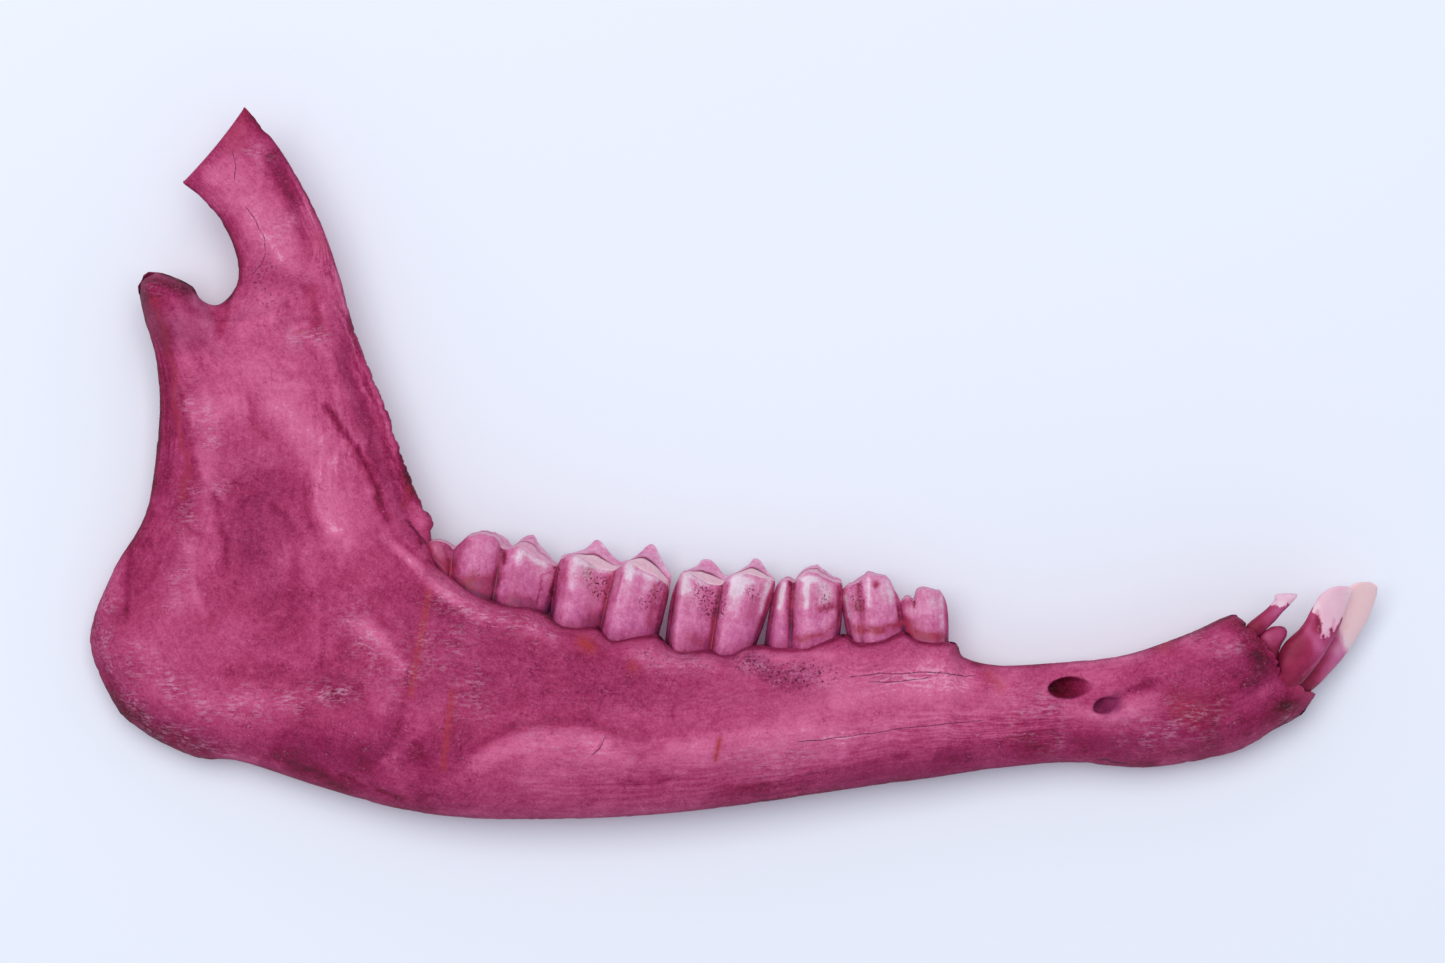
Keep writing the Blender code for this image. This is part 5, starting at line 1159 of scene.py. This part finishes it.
def cheek_tooth(stations, middle_z, width, wear, ridges, valleys):
    """Rings of a cheek tooth, in millimetres, with for each point its station, its height from the gum
    (0) to the rim (1), its place across the chewing face (0 outer, 1 inner, -1 on the outer wall and -2
    on the inner one) and its lobe share.

    Wall: gum + h (rim - gum), standing out by a profile that swells at the gum and rolls over at the rim.
    Chewing face: straight from the outer rim to the inner rim, less two dips in the dentine and one pit.
    """
    stations = np.array(stations)
    steps = np.linalg.norm(np.diff(stations[:, 2:4], axis=0), axis=1)
    steps = steps + np.linalg.norm(np.diff(stations[:, :2], axis=0), axis=1)
    travelled = np.concatenate([[0], np.cumsum(steps)])
    places = np.interp(np.linspace(0, travelled[-1], TOOTH_ROWS), travelled, np.arange(len(stations)))
    at = curve_through(np.arange(len(stations)), stations, places)
    gum, outer_rim, inner_rim = at[:, None, :2], at[:, None, 2:4], at[:, None, 4:6]
    stand_out = at[:, 6, None]
    share = lobe_shares(places, ridges, valleys)[:, None]
    rim_at = np.concatenate([outer_rim, np.zeros_like(places)[:, None, None]], axis=2)
    chips = (RIM_CHIPS - WORN_SMOOTH * wear) * layered_noise(rim_at, CHIP_CELL, 91)[..., None]
    outer_rim = outer_rim + chips * (0, 1)
    inner_rim = inner_rim + chips * (0, 1)
    to_end = np.minimum(places, places[-1] - places)
    ends = np.minimum(1.0, 0.45 + 0.55 * smooth_step(to_end, 0.0, 1.6))[:, None]

    root = np.linspace(-ROOT_LENGTH, 0, ROOT_STEPS, endpoint=False) / CROWN_LENGTH
    rise = np.concatenate([root, np.linspace(0, 1, WALL_STEPS)])
    swell = NECK + COLLAR * hill(rise, 0.12, 0.16) - TAPER * np.clip(rise, 0, 1)
    roll = np.sqrt(np.clip(1 - (np.clip(rise - 1 + RIM_ROUNDING, 0, 1) / RIM_ROUNDING) ** 2, 0, 1))
    swell = swell * (1 - RIM_NARROWING + RIM_NARROWING * roll)
    height = np.clip(rise, -1, 1)[None, :, None]

    outer_xy = gum + height * (outer_rim - gum)
    outer_z = middle_z + width / 2 * stand_out * swell - INWARD_LEAN * np.clip(rise, 0, 1)
    inner_xy = gum + height * (inner_rim - gum)
    inner_z = middle_z - width / 2 * (INNER_VALLEYS + INNER_LOBES * share) * ends * swell
    inner_z = inner_z - INWARD_LEAN * np.clip(rise, 0, 1)

    t = (np.arange(CHEW_STEPS) + 0.5) / CHEW_STEPS
    up = (outer_rim - gum) / np.linalg.norm(outer_rim - gum, axis=2)[..., None]
    bowed = t + CREST_LEAN * np.sin(2 * np.pi * t)
    dip = DENTINE_DIP * (hill(t, 0.22, 0.13) + hill(t, 0.78, 0.13))
    pit = PIT_DIP * hill(t, 0.46, 0.10)
    sunk = wear * (dip + pit * np.clip(share * 1.4, 0, 1)) * ends
    dome = (1 - wear) * UNWORN_DOME * np.sin(np.pi * t) * share
    chew_xy = outer_rim + bowed[None, :, None] * (inner_rim - outer_rim) + (dome - sunk)[..., None] * up
    chew_z = outer_z[:, -1:] + t * (inner_z[:, -1:] - outer_z[:, -1:])

    xy = np.concatenate([outer_xy, chew_xy, inner_xy[:, ::-1]], axis=1)
    z = np.concatenate([outer_z, chew_z, inner_z[:, ::-1]], axis=1)
    rises = np.concatenate([rise, np.ones(CHEW_STEPS), rise[::-1]])
    across = np.concatenate([np.full(len(rise), -1.0), t, np.full(len(rise), -2.0)])
    extra = [np.broadcast_to(v, z.shape) for v in (places[:, None], rises, across, share)]
    return np.stack([xy[..., 0], xy[..., 1], z, *extra], axis=2)


def rounded_ends(rings):
    """Adds rows that bulge and shrink at both ends of a row of rings, and a pole point at each end."""
    first, last = rings[0], rings[-1]
    out = (last - first)[:, :3].mean(axis=0)
    out /= np.linalg.norm(out)
    caps = []
    for ring, way in ((first, -out), (last, out)):
        centre = ring.mean(axis=0)
        rows = []
        for shrink, bulge in END_STEPS:
            row = centre + (1 - shrink) * (ring - centre)
            row[:, :3] += bulge * way
            rows.append(row)
        pole = centre.copy()
        pole[:3] += 1.06 * END_STEPS[-1][1] * way
        caps.append((rows, pole))
    rows = np.concatenate([caps[0][0][::-1], rings, caps[1][0]])
    return rows, caps[0][1], caps[1][1]


def capped_mesh(rows, first_pole, last_pole):
    """Points and faces of closed rings with a fan of triangles to a pole at each end."""
    count, around = rows.shape[:2]
    points = np.concatenate([rows.reshape(-1, rows.shape[2]), first_pole[None], last_pole[None]])
    faces = list(grid_faces(count, around))
    j = np.arange(around)
    next_j = (j + 1) % around
    faces += list(np.stack([j, next_j, np.full(around, count * around)], axis=1))
    base = (count - 1) * around
    faces += list(np.stack([base + next_j, base + j, np.full(around, count * around + 1)], axis=1))
    return points, faces


WALL_MARK_STRENGTH = 1.15
# painted shade in the valleys between lobes and at both ends of each tooth
VALLEY_PAINTED_SHADE, VALLEY_REACH = (0.35, 1.0), (0.8, 0.28)  # a broad shade and a narrow line, in stations
STAIN_STRENGTH, GRIT_ALL_OVER = 1.4, 0.12
BEND_ACROSS, BEND_UP = 0.12, 0.25  # millimetres by which noise bends the marks
GUM_SHADE, GUM_SHADE_REACH = 0.8, 0.025  # steps of tone, and share of the wall's height
# Tone of the wall at the gum, and how much paler it gets above the gum and again towards the rim
WALL_TONE, ABOVE_GUM, TOWARDS_RIM, ROOT_SHADE = -0.3, 0.62, 0.45, 0.25
# Tone of the chewing face when unworn, and what wear, dentine, ridges and cusps add to it
FACE_TONE, WORN_TONE, BASIN_TONE, RIDGE_TONE, CUSP_TONE = 0.7, 0.15, 0.45, 0.5, 0.3
WORN_PIT_DARK, PIT_DARK = 2.5, 0.4
GROOVE_DARK, GROOVE_AT, GROOVE_HALF_WIDTH = 0.7, 0.13, 0.035  # between the outer ridge and the dentine
PIT_AT, PIT_HALF_WIDTH = 0.50, 0.040  # across the chewing face, as the places below are too
RIDGES_AT, RIDGE_HALF_WIDTH = (0.02, 0.97), 0.05


def cheek_tooth_marks(points, valleys, wear, pale):
    """Tone, hue, rust, specks and dentine of a cheek tooth.

    The wall is darker at the gum, painted shade darkens it in the valleys and at the tooth's ends, and
    the outer one carries the marks above. On the chewing face dentine is cream, the pit dark, and the
    rims and cusps pale.
    """
    x, y, _, place, rise, across, share = points.T
    chew = across >= 0
    outside = np.where(across == -1.0, 1.0, 0.0)
    coarse = layered_noise(points[:, :3], 2.2, 71)
    small = layered_noise(points[:, :3], 0.6, 75, 2)
    streaks = layered_noise(np.stack([place, 1.4 * rise, across], axis=1), 0.36, 79, 3)
    bx, by = x + BEND_ACROSS * small, y + BEND_UP * lattice_noise(points[:, :3], 0.8, 77)
    wall = pale + WALL_TONE + ABOVE_GUM * smooth_step(rise, 0.02, 0.30)
    wall -= ROOT_SHADE * smooth_step(rise, 0.10, -0.05)
    wall += TOWARDS_RIM * smooth_step(rise, 0.45, 0.85)
    wall += WALL_MARK_STRENGTH * outside * bells(bx, by, WALL_TONES)
    # painted shade in each valley and at both ends of the tooth
    for valley in (0.0, *valleys, place.max()):
        wall -= sum(painted_shade * hill(place, valley, reach) for painted_shade, reach in zip(VALLEY_PAINTED_SHADE, VALLEY_REACH))
    wall -= GUM_SHADE * hill(rise, 0, GUM_SHADE_REACH)
    wall += 0.20 * streaks + 0.10 * small
    pit = hill(across, PIT_AT, PIT_HALF_WIDTH) * np.clip(1.5 * share, 0, 1)
    outer_ridge, inner_ridge = (hill(across, at, RIDGE_HALF_WIDTH) for at in RIDGES_AT)
    enamel = outer_ridge + 0.5 * inner_ridge
    basin = smooth_step(across, 0.48, 0.40)
    cusp = smooth_step(across, 0.55, 0.72)
    top = FACE_TONE + WORN_TONE * wear + BASIN_TONE * wear * basin + RIDGE_TONE * enamel * wear
    top -= (WORN_PIT_DARK * wear + PIT_DARK) * pit
    top += CUSP_TONE * cusp
    top -= GROOVE_DARK * wear * hill(across, GROOVE_AT, GROOVE_HALF_WIDTH) - 0.16 * small
    tone = np.where(chew, top + 0.12 * coarse, wall) + 0.15 * coarse + 0.12 * small
    hue = 0.25 * coarse + 0.35 * smooth_step(rise, 0.5, 0.75) - 0.35 * smooth_step(rise, 0.55, 0.1) * ~chew
    hue -= 0.45 * cusp
    return {
        "tone": tone,
        "hue": hue,
        "rust": STAIN_STRENGTH * outside * bells(bx, by, WALL_RUST),
        "speck": STAIN_STRENGTH * outside * bells(bx, by, WALL_SPECKS) + GRIT_ALL_OVER,
        "cream": wear * basin * (1 - np.clip(pit, 0, 1)) * chew,
    }


# Dyed tooth: enamel over dentine. Enamel is hard and glassy, so it took the dye less than the bone,
# shines softly and stays whitish down the worn ridges; its grooves are dark with dye and painted shade.
ENAMEL_STOPS = (
    (0.0, "#400d1e"), (0.125, "#641430"), (0.25, "#88244c"), (0.375, "#ab3c6a"), (0.5, "#c25888"),
    (0.625, "#d26e9d"), (0.75, "#df8bb0"), (0.875, "#e6aac6"), (0.999, "#edd2df"),
)
ENAMEL_NOISES = {"growth": (0.7, 4.0, 0.6), "pits": (0.3, 2.0, 0.6), "grit": (0.34, 2.0, 0.65)}
GROWTH_TONE, PIT_TONE = 1.6, 1.1  # how many steps of tone each noise spans


def dyed_enamel(name, roughness, depth_light, mottled, dentine):
    """Material of a tooth: colour from tone, hue, rust and specks, with a fine grain. The attribute cream
    says where the dentine's colour shows; mottled is the share of the grain that an old tooth has, and
    depth_light is how much light goes in under the surface."""
    material, tree, surface = new_material(name)
    place = add_node(tree, "TexCoord").outputs["Object"]
    read = {name: add_node(tree, "Attribute", attribute_name=name).outputs["Fac"]
            for name in ("tone", "hue", "rust", "speck", "cream")}
    grain, pores, grit = (
        add_node(tree, "TexNoise", Vector=place, Scale=1 / (cell * MM), Detail=detail, Roughness=layer)
        for cell, detail, layer in ENAMEL_NOISES.values()
    )
    growth, pits = GROWTH_TONE * mottled, PIT_TONE * mottled
    mean = (growth + pits) / 2
    tone = read["tone"]
    for part, gain in ((grain, growth), (pores, pits)):
        tone = add_node(tree, "Math", operation="MULTIPLY_ADD", Value=part, Value_001=gain, Value_002=tone)
    share = add_node(tree, "MapRange", Value=tone, From_Min=mean - 2, From_Max=mean + 2)
    hue = add_node(tree, "Math", operation="MULTIPLY_ADD", Value=grain, Value_001=0.6, Value_002=read["hue"])
    redder = add_node(tree, "MapRange", Value=hue, From_Min=0.4, From_Max=1.3, To_Max=0.5)
    bluer = add_node(tree, "MapRange", Value=hue, From_Min=0.2, From_Max=-0.7, To_Max=0.45)
    in_pores = add_node(tree, "MapRange", Value=grain, From_Min=0.38, From_Max=0.60, To_Min=0.35, To_Max=0.95)
    rust = add_node(tree, "Math", operation="MULTIPLY", Value=read["rust"], Value_001=in_pores)
    cream = add_node(tree, "Math", operation="MULTIPLY", Value=read["cream"], Value_001=0.70)
    dots = add_node(tree, "MapRange", Value=grit, From_Min=0.55, From_Max=0.60, To_Max=0.95)
    speck = add_node(tree, "Math", operation="MULTIPLY", use_clamp=True, Value=read["speck"], Value_001=dots)
    colour = add_node(tree, "ValToRGB", Fac=share, stops=ENAMEL_STOPS)
    for cover, stain in ((redder, "#a82c4e"), (bluer, "#b9529a"), (rust, "#a4284a"), (cream, dentine),
                         (speck, "#6a1432")):
        colour = add_node(tree, "Mix", data_type="RGBA", Factor_Float=cover, A_Color=colour,
                          B_Color=hex_linear(stain))
    height = add_node(tree, "Math", operation="MULTIPLY_ADD", Value=pores, Value_001=0.4, Value_002=grain)
    bump = add_node(tree, "Bump", Height=height, Strength=0.30, Distance=0.00012)
    shader = add_node(
        tree, "BsdfPrincipled", Base_Color=colour, Normal=bump, Roughness=roughness, IOR=1.6,
        Specular_IOR_Level=0.32 * mottled, Subsurface_Weight=depth_light, Subsurface_Scale=0.001,
        Subsurface_Radius=(1.0, 0.5, 0.6),
    )
    tree.links.new(shader.outputs["BSDF"], surface)
    return material


cheek_enamel = dyed_enamel("dyed enamel of the cheek teeth", 0.52, 0.0, 1.0, "#eec4ca")
for name, stations, middle_z, width, wear, ridges, valleys, pale in CHEEK_TEETH:
    rows = cheek_tooth(stations, middle_z, width, wear, ridges, valleys)
    points, faces = capped_mesh(*rounded_ends(rows))
    marks = cheek_tooth_marks(points, valleys, wear, pale)
    piece = new_piece(name, points[:, :3], faces, cheek_enamel, marks)


# The front teeth: two broad new incisors, a third that is just through the bone and a worn milk peg.
# Each is a bent blade whose oval section runs between its left and its right edge.

# Stations from the root to the cutting edge: left edge X, Y, Z, right edge X, Y, Z, thickness
INCISOR_1 = (
    (68.7, -31.6, 7.4, 70.6, -33, 5.8, 2.4), (70.4, -29.6, 7.4, 73, -31.2, 5.3, 2.8),
    (71.8, -28.2, 7.4, 74.5, -29.7, 5, 3), (73.2, -26.7, 7.4, 76, -28.5, 4.8, 3),
    (74.5, -25, 7.5, 77.4, -27.1, 4.6, 2.9), (75.7, -23.4, 7.6, 78.8, -25.6, 4.4, 2.8),
    (76.7, -21.8, 7.7, 80, -24.1, 4.3, 2.6), (77.5, -20.4, 7.8, 81.1, -22.5, 4.3, 2.3),
    (78.2, -19, 7.9, 82.1, -21, 4.4, 2), (78.9, -17.8, 8.1, 82.9, -19.4, 4.6, 1.7),
    (79.5, -16.8, 8.2, 83.45, -17.8, 5, 1.4), (80, -16.1, 8.3, 83.75, -16.5, 5.4, 1.1),
    (80.6, -15.65, 8.3, 83.6, -15.85, 5.9, 0.8), (81.4, -15.45, 8.1, 83, -15.5, 6.4, 0.5),
)
INCISOR_2 = (
    (67.8, -30, 9.2, 69.2, -31.4, 8.4, 2.2), (69.4, -28.6, 9.5, 71.6, -30, 8.6, 2.7),
    (70.4, -27, 9.9, 73.5, -28.4, 8.7, 3.2), (70.4, -25.6, 10.2, 74.6, -27.2, 8.8, 3.5),
    (70.8, -24.3, 10.4, 75.5, -26.1, 8.9, 3.4), (71.5, -23.2, 10.6, 76.3, -25, 9, 3.2),
    (72.3, -22.4, 10.7, 77, -23.8, 9, 2.9), (73.2, -21.6, 10.8, 77.7, -22.6, 9, 2.6),
    (74, -20.5, 10.9, 78.3, -21.5, 9.1, 2.3), (74.6, -19.3, 11, 78.8, -20.3, 9.2, 2),
    (75.2, -18.2, 11.1, 79.2, -19.1, 9.4, 1.7), (75.8, -17.2, 11.2, 79.6, -17.9, 9.6, 1.4),
    (76.5, -16.6, 11.3, 79.9, -17, 9.9, 1.1), (77.4, -16.1, 11.3, 80.05, -16.4, 10.2, 0.8),
    (78.4, -15.9, 11.2, 79.7, -16, 10.5, 0.5),
)
INCISOR_3 = (
    (68.2, -26.6, 9.2, 69.2, -27.4, 9, 1.6), (69.3, -25.3, 9.4, 70.3, -25.7, 9.1, 1.9),
    (68.9, -24.3, 9.6, 70.6, -24.5, 9.3, 2.1), (68.3, -23.3, 9.8, 71, -23.4, 9.4, 2.1),
    (68, -22.6, 9.9, 71.5, -22.6, 9.5, 2), (68.5, -22, 10, 71.7, -21.95, 9.6, 1.8),
    (69, -21.6, 10, 71.6, -21.5, 9.7, 1.5), (69.5, -21.35, 10, 71.3, -21.25, 9.8, 1.1),
    (70, -21.25, 10, 70.9, -21.2, 9.9, 0.6),
)
INCISOR_4 = (
    (64.4, -23.2, 9.5, 65.8, -24.8, 9.2, 1.9), (65.7, -21.9, 9.7, 67, -23.4, 9.5, 1.9),
    (66.7, -20.7, 9.9, 68.3, -22.2, 9.7, 1.9), (67.8, -19.8, 10.1, 69.3, -21.2, 9.9, 1.8),
    (68.8, -19, 10.3, 70.2, -20.3, 10.1, 1.7), (69.6, -18.2, 10.5, 71.1, -19.2, 10.3, 1.6),
    (70, -17.6, 10.7, 71.9, -18.4, 10.5, 1.5), (70.05, -17.15, 10.9, 72.5, -17.7, 10.6, 1.3),
    (70.3, -16.95, 11, 72.9, -17.2, 10.7, 1), (70.8, -16.9, 11, 72.9, -16.95, 10.8, 0.6),
)
# Name, stations, bow of the inner side, how ragged and how sharp the upper border of the dye is, and
# that border: places across the tooth from left (0) to right (1), heights from root (0) to edge (1);
# last, how pinkish cream the crown is
FRONT_TEETH = (
    ("incisor_1", INCISOR_1, 0.30, 0.01, 0.05, (0.0, 0.5, 1.0), (0.68, 0.63, 0.57), 1.15),
    ("incisor_2", INCISOR_2, 0.30, 0.06, 0.012, (0.0, 0.10, 0.18, 0.28, 0.38, 0.48, 0.66, 0.78, 0.88, 1.0),
     (0.80, 0.77, 0.76, 0.73, 0.68, 0.64, 0.64, 0.67, 0.72, 0.74), 0.45),
    ("incisor_3", INCISOR_3, 0.10, 0.05, 0.1, (0.0, 1.0), (1.4, 1.4), 0.0),
    ("incisor_4", INCISOR_4, 0.05, 0.06, 0.02, (0.0, 0.5, 1.0), (0.78, 0.80, 0.86), 0.25),
)
# Marks on their outer faces: tone, with a painted highlight down the second incisor's root, and rusty red
BLADE_TONES = (
    (72, -23.2, 73, -22.6, 72.6, -24.6, 0.9, -0.55), (70.8, -25.6, 71.8, -23, 0.5, -0.5),
    # a painted highlight: a pale strip down the middle and right side of the second incisor's root
    (72.4, -27, 73.4, -26, 0.7, 0.15), (73.6, -27.5, 75.2, -26.1, 76.4, -24.7, 0.2, 0.6),
    (73.9, -20.6, 74.9, -22.2, 76, -24, 0.7, 0.6), (74.4, -19.8, 75.2, -18.4, 0.5, 0.7),
    (75.4, -19.2, 75.7, -21.6, 0.26, -1), (77.7, -20.2, 77.6, -21.6, 0.22, -0.8),
    (77.2, -21.6, 76.4, -22.4, 0.3, -0.5), (76.4, -28, 79.9, -23.4, 1.1, 1),
    (78.2, -24.1, 79.2, -22.8, 0.9, 1.15), (74.6, -28.4, 75.6, -27.2, 0.7, -0.4),
    (79.6, -21.2, 0.35, -0.45), (81.4, -22, 81.4, -17, 82.8, -14.4, 1.8, 0.7, 4),
    (67, -21.4, 68.2, -20.8, 1, -0.4), (69, -20.4, 70.6, -18.8, 0.8, 0.85),
    (69.4, -22.2, 70.8, -22.4, 69.6, -24, 1, 0.6), (69.6, -20.2, 0.6, -0.25),
    (68.8, -22.3, 69.2, -23, 0.5, 0.45), (70, -24.8, 69.8, -24, 0.6, -0.5),
)
BLADE_RUST = (
    (72.4, -23.2, 73.4, -24.6, 72.6, -26.4, 1, 0.45), (74.1, -22.6, 74.7, -24.4, 74, -26, 0.28, 0.75),
    (75.1, -21.4, 0.4, 0.8), (75.5, -19, 75.7, -20.2, 0.25, 0.6), (75.2, -28, 76.6, -26.6, 1.2, 0.5),
    (79.6, -21.2, 0.35, 0.45), (67.2, -21.2, 68.4, -20.6, 0.9, 0.45),
)
BLADE_ROWS, BLADE_SIDES = 110, 64
FLATNESS = 0.85  # power of the section's height; 1 would be an ellipse


def blade(stations, bow):
    """Rings of a front tooth with, for each point, its share of the length, its share of the width from
    left to right and 1 on the outer side or -1 on the inner side.

    Section: middle + cos(a) * half width vector + sin(a) * half thickness vector, flattened towards the
    cutting edge, with its inner side bowed in by a share of the thickness.
    """
    stations = np.array(stations)
    middle = (stations[:, :3] + stations[:, 3:6]) / 2
    travelled = np.concatenate([[0], np.cumsum(np.linalg.norm(np.diff(middle, axis=0), axis=1))])
    even = np.linspace(0, travelled[-1], BLADE_ROWS)
    at = curve_through(travelled, stations, even)
    middle, half = (at[:, :3] + at[:, 3:6]) / 2, (at[:, 3:6] - at[:, :3]) / 2
    axis = np.gradient(middle, axis=0)
    thin = np.cross(half, axis)
    thin /= np.linalg.norm(thin, axis=1)[:, None]
    angle = 2 * np.pi * np.arange(BLADE_SIDES) / BLADE_SIDES
    c, s = np.cos(angle), np.sin(angle)
    thickness = at[:, 6, None] / 2
    share = (even / even[-1])[:, None]
    lift = np.sign(s) * np.abs(s) ** FLATNESS * thickness
    lift = lift + np.where(s < 0, bow * at[:, 6, None] * smooth_step(share, 0.4, 0.9) * (1 - c**2) ** 2, 0)
    points = middle[:, None] + c[:, None] * half[:, None] + lift[..., None] * thin[:, None]
    extra = [np.broadcast_to(v, lift.shape) for v in (share, (c + 1) / 2, np.sign(s))]
    return np.concatenate([points, np.stack(extra, axis=2)], axis=2)


ROOT_TONE, CROWN_TONE = -1.35, 1.70
SIDE_DARK = 0.5  # how much darker both sides of the root are


def blade_marks(points, ragged, soft, border_sides, border_heights, warmth):
    """Tone, hue, rust and cream of a front tooth: a dark magenta root, and above a ragged border a pale
    crown, with warmth as its share of pinkish cream."""
    share, side = points[:, 3], points[:, 4]
    coarse = layered_noise(points[:, :3], 1.6, 81)
    teeth_of_dye = layered_noise(points[:, :3] * (2.5, 0.8, 1.0), 0.9, 85, 3)
    edge = np.interp(side, border_sides, border_heights)
    crown = smooth_step(share + ragged * teeth_of_dye, edge - soft, edge + soft)
    stained = smooth_step(share, 0.12, edge)
    outside = points[:, 5] >= 0
    tone = ROOT_TONE + 0.85 * stained + 0.25 * coarse
    tone -= SIDE_DARK * smooth_step(np.abs(side - 0.5), 0.40, 0.5)
    tone = tone + crown * (CROWN_TONE - tone + 0.10 * coarse)
    tone = tone + outside * bells(points[:, 0], points[:, 1], BLADE_TONES)
    hue = (0.85 - 0.70 * stained * smooth_step(side, 0.3, 0.7)) * (1 - crown) + 0.15 * crown
    return {
        "tone": tone,
        "hue": hue,
        "rust": outside * bells(points[:, 0], points[:, 1], BLADE_RUST),
        "speck": np.zeros_like(share),
        "cream": warmth * crown,
    }


front_enamel = dyed_enamel("pale enamel of the front teeth", 0.44, 0.15, 0.35, "#fdd0cd")
for name, stations, bow, *border in FRONT_TEETH:
    rings = blade(stations, bow)
    points, faces = capped_mesh(rings, rings[0].mean(axis=0), rings[-1].mean(axis=0))
    piece = new_piece(name, points[:, :3], faces, front_enamel, blade_marks(points, *border))
